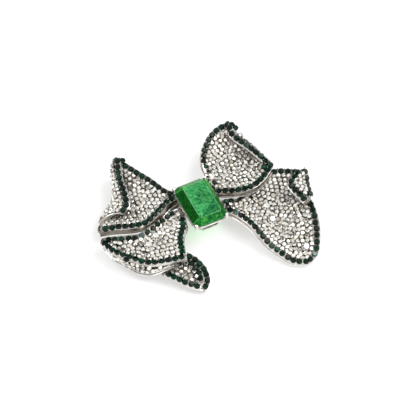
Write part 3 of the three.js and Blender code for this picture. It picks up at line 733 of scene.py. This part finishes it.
def shell(name, s, nu, nv, skirts, skirt=2.0, wire_look=HIGHLIGHT_METAL, wall_look=METAL):
    """The cast metal shell of one ribbon lobe, with a rolled rim and a deeper wall on some edges."""
    wall_u = SHELL["wall"] / s.length_u(0.5)
    wall_v = SHELL["wall"] / s.length_v(0.5)
    u, v = np.meshgrid(grid_lines(nu, wall_u), grid_lines(nv, wall_v), indexing="ij")
    p, n = s.at(u, v), s.normal(u, v)
    depth = np.full(u.shape, SHELL["thick"])
    edges = {"low": v <= wall_v, "high": v >= 1 - wall_v, "start": u <= wall_u, "end": u >= 1 - wall_u}
    for side, here in edges.items():
        if side not in skirts:
            depth[here] = SHELL["thin"]
    for side in skirts:
        depth[edges[side]] = skirt
    drop = np.where((u == 0) | (u == 1) | (v == 0) | (v == 1), SHELL["round"], 0.0)
    verts, upper, lower, sides = slab(p - n * drop[..., None], p - n * (depth - drop)[..., None])
    shape = Shape()
    shape.add(verts, upper + lower + sides, [0] * len(upper + lower) + [2] * len(sides))
    for side in skirts:
        q, m = track(s, side, 0.01, 0.99, inset=0.0, samples=60)
        for down, radius in ((skirt - SHELL["foot"][0], SHELL["foot"][1]), SHELL["lip"]):
            shape.add(*tube(q - m * down, radius), 1)
    obj = shape.build(name + "_shell", [METAL, wire_look, wall_look], "rhodium", sharp=38)
    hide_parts(name)


# the upper lobes' walls are in painted shade
shell("ul_casting", UL, 44, 22, ["low", "high"], 2.5, wall_look=PAINTED_SHADE)
shell("ur_casting", UR, 44, 24, ["low"], 1.9, METAL, PAINTED_SHADE)
shell("ll_casting", LL, 48, 22, ["high", "end"], 1.6)
shell("lr_casting", LR, 56, 26, ["low"], 1.6)
shell("ll_flap_casting", LL_FLAP, 26, 16, ["end"])
shell("ul_lip_casting", UL_LIP, 40, 10, [])
shell("ur_lip_casting", UR_LIP, 34, 8, [])
shell("lr_lip_casting", LR_LIP, 34, 10, [])
shell("ll_band_casting", LL_BAND, 44, 6, [])

# ---- polished rails along the folded edges ----
# At both ends a rail thins to `tip` of its radius, over one part in `taper` of its length.
RAIL = {"inset": 0.02, "inner": 0.3, "taper": 12, "tip": 0.35}


def wire(name, points, radius, sides, material):
    shape = Shape()
    shape.add(*tube(points, radius, sides))
    shape.build(name, [material], "rhodium", sharp=60)


def rail(name, s, edge, radius, lift=0.0, out=0.0):
    """A wire with thinner tips along an edge, raised by `lift` and moved `out` past the edge."""
    p, n = track(s, edge, 0.0, 1.0, RAIL["inset"])
    across = p - track(s, edge, 0.0, 1.0, RAIL["inner"])[0]
    p = p + across / norm(across, axis=1)[:, None] * out
    share = np.linspace(0, 1, len(p))
    taper = np.clip(RAIL["taper"] * np.minimum(share, 1 - share), RAIL["tip"], 1)
    wire(name, p + n * lift, radius * taper, 8, HIGHLIGHT_METAL)


rail("ul_lip_rail", UL_LIP, "high", 0.36, 0.1, 0.2)
rail("ul_lip_end_rail", UL_LIP, "end", 0.34, 0.15)
rail("ur_lip_rail", UR_LIP, "high", 0.36, 0.1, 0.4)
rail("lr_lip_rail", LR_LIP, "high", 0.36, 0.1, 0.2)
rail("ll_band_rail", LL_BAND, "low", 0.45, 0.3, 0.1)
rail("ll_band_upper_rail", LL_BAND, "low", 0.45, 0.95, 0.25)
rail("ll_flap_rail", LL_FLAP, "low", 0.3)
rail("ul_lip_outer_rail", UL_LIP, "low", 0.22)

TOE = Curve([
    [-33.4, 10.6, 5.2], [-35.2, 9.0, 5.2], [-35.7, 7.4, 5.4], [-34.9, 6.4, 5.6], [-32.8, 5.7, 5.9],
])
# the toe rail is painted dark, as the shade in the pocket under the lip
wire("ul_toe_rail", TOE.at(np.linspace(0, 1, 30)), 0.5, 10, PAINTED_SHADE)

# ---- rows of green stones ----
# The way a setter turns stones on a steep rim, so that they show from the front.
FRONT = np.array([-0.2, -0.42, 0.885])
GREEN_STONE = brilliant(1.07, 0.62, 0.45, 0.95, 1.5)
# The stones' spacing, the channel's section, and the beads on both sides between the stones.
ROW = {
    "pitch": 2.32, "ends": 2.2, "tilt": 0.08, "width": 2.0, "low": -0.4, "shoulder": 0.5, "high": 0.72,
    "chamfer": 0.18, "bead_out": 0.86, "bead_up": 0.9, "bead": (0.22, 0.22, 0.4),
}
# A single stone where a row ends or turns: its table's height, its prongs and its post.
LOOSE = {
    "height": 1.45, "prongs": 4, "prong_up": 0.9, "prong_out": 1.12, "prong": (0.21, 0.21, 0.4),
    "post_top": 0.6, "post_foot": -0.8, "post_radii": [0.95, 0.6],
}


def spread(points, normals, count):
    """Evenly spaced points, normals and directions along a track."""
    s = distances(points)
    where = np.linspace(0, s[-1], count)
    p, n = [np.stack([np.interp(where, s, a[:, k]) for k in range(3)], -1) for a in (points, normals)]
    n /= norm(n, axis=1)[:, None]
    d = np.gradient(p, axis=0)
    d /= norm(d, axis=1)[:, None]
    return p, n, d


def channel_of(p, n, d):
    """The channel under a row, with a strip along its top, where the stones sit, in painted shade."""
    half = ROW["width"] / 2
    inner = half - ROW["chamfer"]
    section = [
        (-half, ROW["low"]), (half, ROW["low"]), (half, ROW["shoulder"]),
        (inner, ROW["high"]), (-inner, ROW["high"]), (-half, ROW["shoulder"]),
    ]
    top = section.index((inner, ROW["high"]))
    across = np.cross(n, d)
    rings = np.array([
        p[i] + np.array([a * across[i] + h * n[i] for a, h in section]) for i in range(len(p))
    ])
    verts, faces = loft(rings)
    channel = Shape()
    channel.add(verts, [f for i, f in enumerate(faces[:-2]) if i % len(section) != top] + faces[-2:])
    strip = [[2 * i, 2 * i + 1, 2 * i + 3, 2 * i + 2] for i in range(len(p) - 1)]
    channel.add(rings[:, top:top + 2].reshape(-1, 3), strip, 2)
    return channel


def green_facets():
    """How much light each facet of a green stone is painted as sending back, which is mostly little."""
    return RNG.beta(0.7, 1.1, len(GREEN_STONE[1]))


def loose_stone(spot, stones, channel):
    """A green stone on its own post, with its table at `spot`, facing the front."""
    axes = basis(FRONT + RNG.normal(0, ROW["tilt"], 3), RNG.normal(0, 1, 3))
    foot = np.array(spot) - axes[2] * LOOSE["height"]
    put(stones, GREEN_STONE, foot, axes, 0, green_facets(), RNG.uniform())
    middle, count = foot + axes[2] * LOOSE["prong_up"], LOOSE["prongs"]
    ring_of_prongs(channel, middle, axes, 1, count, math.pi / count, LOOSE["prong_out"], LOOSE["prong"])
    post = [foot + axes[2] * LOOSE[end] for end in ("post_top", "post_foot")]
    channel.add(*tube(post, LOOSE["post_radii"], 12))


def row(name, *args, face=0.3, lift=0.0, extra=(), pale=()):
    """A channel of green stones. `face` turns them to the front, and `extra` adds loose ones."""
    points, normals = track(*args)
    points = points + FRONT * lift
    normals = normals * (1 - face) + FRONT * face
    normals /= norm(normals, axis=1)[:, None]
    count = max(2, round((distances(points)[-1] - ROW["ends"]) / ROW["pitch"]) + 1)
    p, n, d = spread(points, normals, 2 * count + 1)
    channel = channel_of(*spread(points, normals, 6 * count + 1))
    stones = Shape()
    for i in range(count):
        j = 2 * i + 1
        turn = RNG.uniform(0, math.pi / 4)
        tilt = n[j] + RNG.normal(0, ROW["tilt"], 3)
        axes = basis(tilt, d[j] * math.cos(turn) + np.cross(n[j], d[j]) * math.sin(turn))
        facets = green_facets()
        # the table carries a lighter painted reflection
        facets[0] = RNG.uniform(0.25, 0.8)
        put(stones, GREEN_STONE, p[j], axes, 1 if i in pale else 0, facets, RNG.uniform())
    for j in range(0, 2 * count + 1, 2):
        for side in (-1, 1):
            foot = p[j] + side * ROW["bead_out"] * np.cross(n[j], d[j]) + n[j] * ROW["bead_up"]
            put(channel, PRONG, foot, basis(n[j]), 1, scale=ROW["bead"])
    for spot in extra:
        loose_stone(spot, stones, channel)
    channel.build(name + "_channel", [METAL, HIGHLIGHT_METAL, PAINTED_SHADE], "rhodium", sharp=50)
    obj = stones.build(name + "_stones", [GREEN, PALE], "green_rhinestone", sharp=0)
    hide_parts(name)


UL_TIP = [[-17.2, 27.6, 12.2], [-19.0, 28.8, 12.0]]
UR_TIP = [[24.0, 24.0, 13.4], [22.6, 23.2, 13.8], [24.8, 22.6, 12.9], [23.2, 25.4, 12.9]]
UR_HEEL = [[28.0, 4.6, 12.4], [29.2, 3.5, 11.4], [26.6, 3.4, 12.0]]
LR_CORNER = [[38.2, -4.2, 11.4]]
LL_CREST = [[-33.3, -9.6, 9.0]]

row("ul_lip_border", UL_LIP, "high", 0.02, 0.99, face=0.75, extra=UL_TIP)
row("ul_border_upper", UL, "high", 0.07, 0.92)
row("ul_border_lower", UL, "low", 0.02, 0.93, face=0.5)
row("ll_border_crest", LL, "low", 0.03, 0.98, extra=LL_CREST)
row("ll_border_upper", LL, "high", 0.05, 0.88, 1.25, face=0.5, pale=(5,))
row("ll_border_right", LL, "end", 0.08, 0.8)
row("ll_flap_border_outer", LL_FLAP, "end", 0.02, 0.97)
row("ll_flap_border_lower", LL_FLAP, "low", 0.1, 0.84)
row("ll_flap_border_inner", LL_FLAP, "end", 0.2, 0.86, 3.5)
row("ur_lip_border", UR_LIP, "high", 0.02, 0.98, face=0.7)
row("ur_border_left", UR, "high", 0.12, 0.985, 0.8, face=0.4, extra=UR_TIP)
row("ur_border_lower", UR, "low", 0.12, 0.98, face=0.6, extra=UR_HEEL)
row("lr_lip_border_inner", LR_LIP, "high", 0.04, 0.97, face=0.5)
row("lr_border_lower", LR, "low", 0.09, 0.98, pale=(1,))
row("lr_border_right", LR, "end", 0.02, 0.62, pale=(1,))
row("lr_border_upper", LR, "high", 0.64, 0.98)
row("lr_border_knot", LR, "high", 0.1, 0.22)
row("lr_lip_border_outer", LR_LIP, "low", 0.06, 0.96, 0.9, face=0.8, lift=0.7, extra=LR_CORNER)

# ---- pave beds ----
# The plate reaches from `under` below the sheet to `plate` above it. Its edge is `margin` from a
# sheet's edge that has a row of green stones, or `bare` from one without.
PAVE = {
    "plate": 0.42, "under": 0.1, "margin": 2.75, "bare": 0.9, "pitch": 1.74, "tilt": 0.14,
    "size": (0.95, 1.04), "bead_reach": 1.3, "bead_up": 0.66, "bead": (0.19, 0.19, 0.3),
}
CLEAR_STONE = brilliant(0.80, 0.46, 0.35, 0.72, 1.1)
# How much light each facet of a small stone tends to be painted as sending back.
RETURN = np.array(per_facet(1.0, [1.0, 0.9, 0.6, 0.6], 0.2))
ACCENT_STONE = brilliant(1.6, 0.86, 0.3, 1.0, 1.95)
# the painted reflection of each facet of an accent stone
ACCENT_FACETS = per_facet(0.95, [0.95, 0.13, 0.6, 0.9], 0.1)
ACCENTS = [(LL, 0.62, 0.7), (LL, 0.56, 0.52), (LR, 0.54, 0.56), (LR, 0.57, 0.37), (LR, 0.88, 0.19)]
# An accent leans a little to the light. The small stones keep `clear` from its middle.
ACCENT = {
    "lean": [0.22, -0.2, 0], "tint": 0.9, "clear": 1.5,
    "prongs": 6, "turn": 0.3, "out": 1.62, "up": 0.95, "prong": (0.24, 0.24, 0.34),
}
# How seats settle. One seat takes `fill` square pitches, and `reach`, `clear` and `stride` are in
# pitches. The shaking dies away over the `shaken` share of the rounds.
PACK = {
    "rounds": 70, "fill": 0.866, "reach": 1.18, "push": 0.32, "clear": 0.52, "stride": 0.5,
    "shake": 0.05, "shaken": 0.6,
}


def bed_grid(s, nu, nv, margins):
    """Points and normals over a patch, kept off its edges by margins in millimetres."""
    start, end, low, high = margins
    points = np.zeros((nu + 1, nv + 1, 3))
    normals = np.zeros_like(points)
    along = np.linspace(0, 1, nu + 1)
    for j in range(nv + 1):
        length_u = s.length_u(j / nv)
        u = start / length_u + along * (1 - (start + end) / length_u)
        length_v = s.length_v(u)
        v = low / length_v + j / nv * (1 - (low + high) / length_v)
        points[:, j] = s.at(u, v)
        normals[:, j] = s.normal(u, v)
    return points, normals


def scatter(points, faces, pitch, fixed):
    """Random seats over a surface, as many as a near-hexagonal pack holds round the fixed stones."""
    tri = np.array([t for f in faces for t in ((f[0], f[1], f[2]), (f[0], f[2], f[3]))])
    a, b, c = points[tri[:, 0]], points[tri[:, 1]], points[tri[:, 2]]
    area = norm(np.cross(b - a, c - a), axis=1) / 2
    edges = Counter((min(e), max(e)) for f in faces for e in zip(f, f[1:] + f[:1]))
    rim = sum(norm(points[i] - points[j]) for (i, j), uses in edges.items() if uses == 1)
    taken = sum(math.pi * r * r for _, r in fixed)
    count = int((area.sum() + rim * pitch / 2 - taken) / (PACK["fill"] * pitch ** 2))
    pick = RNG.choice(len(tri), count, p=area / area.sum())
    w = RNG.dirichlet([1, 1, 1], count)
    return a[pick] * w[:, :1] + b[pick] * w[:, 1:2] + c[pick] * w[:, 2:]


def settle(points, faces, pitch, fixed):
    """Stone seats spread evenly over a surface, in a near-hexagonal pack."""
    p = scatter(points, faces, pitch, fixed)
    tree = BVHTree.FromPolygons([Vector(x) for x in points], faces)
    tiny, apart = 1e-9, np.eye(len(p)) * 9
    shaken = PACK["rounds"] * PACK["shaken"]
    for k in range(PACK["rounds"]):
        gap = p[:, None] - p[None]
        dist = norm(gap, axis=2) + apart
        push = np.clip(PACK["reach"] * pitch - dist, 0, None) / dist
        move = (gap * push[..., None]).sum(1) * PACK["push"]
        for centre, radius in fixed:
            off = p - centre
            away = norm(off, axis=1)
            out = np.clip(radius + pitch * PACK["clear"] - away, 0, None) / (away + tiny)
            move += off * out[:, None]
        size = norm(move, axis=1)[:, None] + tiny
        move *= np.minimum(1, PACK["stride"] * pitch / size)
        if k < shaken:
            move += RNG.normal(0, PACK["shake"] * (1 - k / shaken), p.shape)
        p = np.array([tree.find_nearest(Vector(x))[0] for x in p + move])
    normals = np.array([tree.find_nearest(Vector(x))[1] for x in p])
    return p, normals


def add_beads(plate, seats, normals, pitch):
    """A small prong in the middle of each three neighbouring stones."""
    near = norm(seats[:, None] - seats[None], axis=2) < PAVE["bead_reach"] * pitch
    for i in range(len(seats)):
        around = [j for j in np.nonzero(near[i])[0] if j > i]
        for j, k in combinations(around, 2):
            if near[j, k]:
                p = (seats[i] + seats[j] + seats[k]) / 3
                n = normals[i] + normals[j] + normals[k]
                put(plate, PRONG, p + n / 3 * PAVE["bead_up"], basis(n), 1, scale=PAVE["bead"])


def bed(name, s, nu, nv, margins, pitch=PAVE["pitch"], amber=None, painted_shading=()):
    """Stones over a patch. The last argument lists (u, v, reach, amount): stones there are darkened
    as painted shade, or lightened as painted light where the amount is below zero.
    """
    points, normals = bed_grid(s, nu, nv, margins)
    verts, upper, lower, sides = slab(points + normals * PAVE["plate"], points - normals * PAVE["under"])
    accents = [(a.at(u, v), ACCENT["clear"]) for a, u, v in ACCENTS if a is s]
    seats, ups = settle(points.reshape(-1, 3), upper, pitch, accents)
    plate = Shape()
    plate.add(verts, upper + lower + sides)
    add_beads(plate, seats, ups, pitch)
    amber_seat = None if amber is None else np.argmin(norm(seats - s.at(*amber), axis=1))
    stones = Shape()
    for k, (p, n) in enumerate(zip(seats, ups)):
        axes = basis(n + RNG.normal(0, PAVE["tilt"], 3), RNG.normal(0, 1, 3))
        size = RNG.uniform(*PAVE["size"]) * pitch / PAVE["pitch"]
        # painted reflections: how light each facet is, the table's at random
        facets = RNG.uniform(0, 1.1, len(RETURN)) * RETURN
        facets[0] = RNG.uniform(0.1, 1)
        # a few whole stones are dim
        facets *= 1 - 0.5 * RNG.uniform() ** 2
        # painted shade and painted light round the listed spots
        for u, v, reach, amount in painted_shading:
            away = norm(p - s.at(u, v)) / reach
            facets *= 1 - amount * math.exp(-away * away)
        look = 1 if k == amber_seat else 0
        put(stones, CLEAR_STONE, p, axes, look, facets, RNG.uniform(), (size, size, 1.0))
    plate.build(name + "_plate", [SEAT, BEAD], "rhodium", sharp=50)
    obj = stones.build(name + "_stones", [CLEAR, AMBER], "clear_rhinestone", sharp=0)
    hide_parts(name)


M, B = PAVE["margin"], PAVE["bare"]
# spots of painted shade under the lips and folds and over some whole beds, and painted light where the
# amount is below zero
UL_PAINTED_SHADING = [(0.1, 0.3, 4.5, 0.9), (0.1, 0.7, 4.0, 0.8), (0.5, 0.5, 12.0, -0.3)]
FLAP_PAINTED_SHADING = [(0.1, 0.6, 5.0, 0.8), (0.5, 0.9, 4.0, 0.6), (0.5, 0.5, 9.0, 0.25)]
UR_PAINTED_SHADING = [(0.95, 0.75, 4.5, 0.6), (0.95, 0.45, 4.5, 0.5), (0.5, 0.5, 14.0, 0.15)]

bed("ul_pave", UL, 40, 22, [1.2, 6, M, M], 1.82, painted_shading=UL_PAINTED_SHADING)
bed("ul_lip_pave", UL_LIP, 36, 8, [1, 1.4, B, M], amber=(0.95, 0.2))
bed("ll_pave", LL, 40, 22, [3.2, M, M, M], 1.92)
bed("ll_band_pave", LL_BAND, 36, 4, [6, 3.5, 1.8, 0.5], 1.84)
bed("ll_flap_pave", LL_FLAP, 24, 14, [B, 4.9, M, 2], 1.85, painted_shading=FLAP_PAINTED_SHADING)
bed("ur_pave", UR, 40, 24, [5.5, 1.6, M, M], painted_shading=UR_PAINTED_SHADING)
bed("ur_lip_pave", UR_LIP, 30, 6, [B, 3.4, B, 2.85], amber=(0.6, 0.4), painted_shading=[(0.5, 0.5, 20.0, 0.3)])
bed("lr_pave", LR, 46, 26, [6, M, M, M], 1.82, painted_shading=[(0.86, 0.72, 4.0, 0.55)])
bed("lr_lip_pave", LR_LIP, 20, 6, [3.6, 2.4, 3.0, M])


def accent(number, s, u, v):
    """One larger clear stone and its prongs."""
    p, n = s.at(u, v), s.normal(u, v)
    axes = basis(n + ACCENT["lean"])
    stone = Shape()
    put(stone, ACCENT_STONE, p, axes, 0, ACCENT_FACETS, ACCENT["tint"])
    obj = stone.build(f"accent_{number}", [CLEAR], "clear_rhinestone", sharp=0)
    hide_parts(f"accent_stone_{number}")
    prongs = Shape()
    count, turn, out = ACCENT["prongs"], ACCENT["turn"], ACCENT["out"]
    ring_of_prongs(prongs, p + n * ACCENT["up"], axes, 0, count, turn, out, ACCENT["prong"])
    prongs.build(f"accent_{number}_prongs", [BEAD], "rhodium", sharp=60)


for index, place in enumerate(ACCENTS):
    accent(index + 1, *place)

# ---- centre stone and its setting ----
# Outlines with cut corners, each as (half width, half length, corner, height).
GEM_STEPS = [
    (3.4, 6.4, 0.9, 8.85), (5.3, 8.3, 1.6, 9.8), (6.4, 9.4, 2.2, 10.35),
    (6.5, 9.5, 2.2, 10.4), (6.5, 9.5, 2.2, 10.6),
]
GEM_TABLE = (4.1, 7.15, 0.5, TABLE_Z)
GEM_TABLE_OFFSET = [0.45, -0.3, 0]
# The painted light and shade of each face, from dark at 0 to pale at 1: the pavilion and girdle,
# the crown facets from the +X side round to the corners, then the underside and the table.
GEM_FACET_SHADING = [0.4] * 32 + [0.45, 0.6, 0.55, 0.3, 0.0, 0.3, 0.72, 0.6] + [0.3, 1.0]
GEM_EDGE = {"width": 0.09, "table": 1.0, "rest": 0.35}
TRAY_RIM = [
    (6.62, 9.62, 2.3, 9.35), (6.8, 9.8, 2.35, 9.55), (6.8, 9.8, 2.35, 10.2),
    (6.7, 9.7, 2.3, 10.34), (5.9, 8.9, 1.8, 10.34), (5.9, 8.9, 1.8, 9.35),
]
TRAY_FOOT = [(5.5, 8.5, 1.9, 8.3), (5.6, 8.6, 1.9, 8.8), (5.0, 8.0, 1.6, 8.8), (4.9, 7.9, 1.6, 8.3)]
TRAY_POSTS = {"top": (6.35, 9.35, 2.2, 9.5), "foot": (5.35, 8.35, 1.8, 8.55), "apart": 2.0, "radius": 0.2}
CLAW = {"half_x": 6.75, "half_y": 9.75, "corner": 2.35}
# A claw from its foot to its tip: how far out it stands, how high, and its radius.
CLAW_PROFILE = [
    (0.05, 8.4, 0.4), (0.35, 8.9, 0.5), (0.62, 9.3, 0.62), (0.7, 9.6, 0.55), (0.72, 9.9, 0.5),
    (0.7, 10.2, 0.6), (0.6, 10.6, 0.78), (0.42, 10.95, 0.82), (0.22, 11.2, 0.72),
    (0.06, 11.35, 0.5), (-0.02, 11.42, 0.2),
]


def octagon(half_x, half_y, corner, z):
    x, y = half_x - corner, half_y - corner
    return np.array([
        [half_x, -y, z], [half_x, y, z], [x, half_y, z], [-x, half_y, z],
        [-half_x, y, z], [-half_x, -y, z], [-x, -half_y, z], [x, -half_y, z],
    ])


def centre_stone():
    table = octagon(*GEM_TABLE) + GEM_TABLE_OFFSET
    verts, faces = loft([octagon(*step) for step in GEM_STEPS] + [table])
    gem = Shape()
    gem.add(verts, faces, 0, GEM_FACET_SHADING)
    obj = gem.build("emerald", [EMERALD, EMERALD_EDGE_HIGHLIGHT], "emerald", sharp=0)
    bevel = obj.modifiers.new("edges", "BEVEL")
    bevel.width = GEM_EDGE["width"] * MM
    bevel.segments = 2
    bevel.limit_method = "WEIGHT"
    # the bevels take the painted edge highlight
    bevel.material = 1
    # the table's outline is polished wider than the other edges
    weights = obj.data.attributes.new("bevel_weight_edge", "FLOAT", "EDGE")
    table_start = len(verts) - len(table)
    weights.data.foreach_set("value", [
        GEM_EDGE["table" if min(e.vertices) >= table_start else "rest"] for e in obj.data.edges
    ])
    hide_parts("centre_stone")


def gallery():
    """The open tray under the stone: a rim, a foot and the posts between them."""
    tray = Shape()
    for outlines in (TRAY_RIM, TRAY_FOOT):
        tray.add(*loft([octagon(*outline) for outline in outlines], closed=True))
    tops, feet = octagon(*TRAY_POSTS["top"]), octagon(*TRAY_POSTS["foot"])
    for k in range(len(tops)):
        m = (k + 1) % len(tops)
        posts = max(1, int(norm(tops[m] - tops[k]) / TRAY_POSTS["apart"]))
        for i in range(posts):
            w = (i + 0.5) / posts
            ends = [feet[k] * (1 - w) + feet[m] * w, tops[k] * (1 - w) + tops[m] * w]
            tray.add(*tube(ends, TRAY_POSTS["radius"]))
    obj = tray.build("setting_gallery", [HIGHLIGHT_METAL], "rhodium", sharp=40)
    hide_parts("setting_tray")


def claw(number, side_x, side_y):
    """One claw, in the middle of a cut corner, bent over the stone's edge."""
    middle = CLAW["corner"] / 2
    base = np.array([side_x * (CLAW["half_x"] - middle), side_y * (CLAW["half_y"] - middle), 0.0])
    diagonal = np.array([side_x, side_y, 0.0]) * math.sqrt(0.5)
    path = [base + diagonal * out + [0, 0, z] for out, z, _ in CLAW_PROFILE]
    shape = Shape()
    shape.add(*tube(path, [radius for _, _, radius in CLAW_PROFILE], 16))
    obj = shape.build(f"claw_{number}_wire", [HIGHLIGHT_METAL], "rhodium", sharp=60)
    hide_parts(f"claw_{number}")


centre_stone()
gallery()
for index, corner in enumerate([(1, 1), (-1, 1), (-1, -1), (1, -1)]):
    claw(index + 1, *corner)


# ---- back fittings: the CAD solids with softened edges and fine metal ----
# `weld` is in millimetres. Angles up to `smooth` are shaded smooth, and edges over `sharp` soften.
FINE = {"weld": 0.002, "smooth": 30, "sharp": 35}


def refined(node, body=BODY, bevel=0.06):
    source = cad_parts[node]
    mesh = source.data.copy()
    mesh.materials.clear()
    mesh.materials.append(METAL)
    shade(mesh, FINE["smooth"])
    obj = new_object(node + "_fine", mesh)
    obj.matrix_world = source.matrix_world.copy()
    weld = obj.modifiers.new("weld", "WELD")
    weld.merge_threshold = FINE["weld"] * MM
    soft = obj.modifiers.new("edges", "BEVEL")
    soft.width = bevel * MM
    soft.segments = 2
    soft.limit_method = "ANGLE"
    soft.angle_limit = math.radians(FINE["sharp"])
    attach(obj, body)
    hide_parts(node)


for node in ("setting_base", "knot_plate", "pin_bar", "hinge_bracket", "hinge_rivet", "catch_base"):
    refined(node)
refined("pin_stem", "pin", 0.03)
refined("catch_roller", "roller", 0.03)

# ---- stage ----
# Distances are in metres and places in the part's millimetres. Azimuth 0 looks along +Y, and
# elevation 90 looks straight down.
FLOOR_HALF = 3.0
SKY = {"low": (0.5, 0.5, 0.5), "high": (0.95, 0.96, 0.97), "high_at": 0.8, "strength": 1.04}
CARD = {"azimuth": 154.0, "elevation": 52.0, "outer": 0.82, "inner": 0.95, "dark": 0.12}
GLOW = {"place": [-1.6, -4.0, 3.0], "size": (13 * MM, 5 * MM), "power": 0.00012, "color": (0.2, 1.0, 0.25)}
CAMERA = {
    "azimuth": -26.0, "elevation": 54.0, "distance": 1.6, "target": [2.60, -0.70, 6.6],
    "view_width": 146.432 * MM, "sensor": 36.0,
}


def paper_floor():
    f, z = FLOOR_HALF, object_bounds()[0][2]
    mesh = bpy.data.meshes.new("floor")
    mesh.from_pydata([(-f, -f, z), (f, -f, z), (f, f, z), (-f, f, z)], [], [(0, 1, 2, 3)])
    mesh.materials.append(floor_paper())
    floor = new_object("floor", mesh)


def toward(azimuth, elevation):
    """The unit vector from the brooch to where a light or camera stands."""
    a, e = math.radians(azimuth), math.radians(elevation)
    return Vector((math.sin(a) * math.cos(e), -math.cos(a) * math.cos(e), math.sin(e)))


def aim(obj, azimuth, elevation, distance, target=(0.0, 0.0, 0.0)):
    back = toward(azimuth, elevation)
    obj.location = Vector(target) + back * distance
    obj.rotation_euler = back.to_track_quat("Z", "Y").to_euler()


def studio_world():
    """Even light, with a dark card behind the brooch for the flat stone faces to mirror."""
    world = bpy.data.worlds.new("studio")
    bpy.context.scene.world = world
    world.use_nodes = True
    n = Nodes(world.node_tree, "Generated")
    split = n.add("ShaderNodeSeparateXYZ")
    n.link(n.coord, split.inputs["Vector"])
    sky = n.ramp(split.outputs["Z"], [(0.0, SKY["low"]), (SKY["high_at"], SKY["high"])])
    facing = n.dot(toward(CARD["azimuth"], CARD["elevation"]))
    card = n.span(facing, 1.0, CARD["dark"], CARD["outer"], CARD["inner"], "SMOOTHSTEP")
    background = n.tree.nodes["Background"]
    n.link(n.multiply(sky, card), background.inputs["Color"])
    background.inputs["Strength"].default_value = SKY["strength"]


def area_light(name, size, power, color=(1, 1, 1)):
    data = bpy.data.lights.new(name, "AREA")
    data.shape = "RECTANGLE"
    data.size, data.size_y = size
    data.energy = power
    data.color = color
    return new_object(name, data)


def photo_camera():
    data = bpy.data.cameras.new("camera")
    camera = new_object("camera", data)
    bpy.context.scene.camera = camera
    data.sensor_width = CAMERA["sensor"]
    data.lens = CAMERA["sensor"] * CAMERA["distance"] / CAMERA["view_width"]
    data.clip_start = 0.01
    data.clip_end = 20.0
    target = to_metres(CAMERA["target"])
    aim(camera, CAMERA["azimuth"], CAMERA["elevation"], CAMERA["distance"], target)


paper_floor()
studio_world()
aim(area_light("key", (0.7, 0.7), 5.0), 70, 56, 0.9)
aim(area_light("back", (0.3, 0.3), 1.6), -130, 50, 0.9)
aim(area_light("front", (0.25, 0.2), 0.5), -20, 24, 1.0)
# daylight that has passed through the centre stone and tints the paper under it
glow = area_light("stone_glow", GLOW["size"], GLOW["power"], GLOW["color"])
glow.location = to_metres(GLOW["place"])
photo_camera()

view = bpy.context.scene.view_settings
view.view_transform = "Standard"
view.exposure = 0.0

bpy.context.view_layer.update()
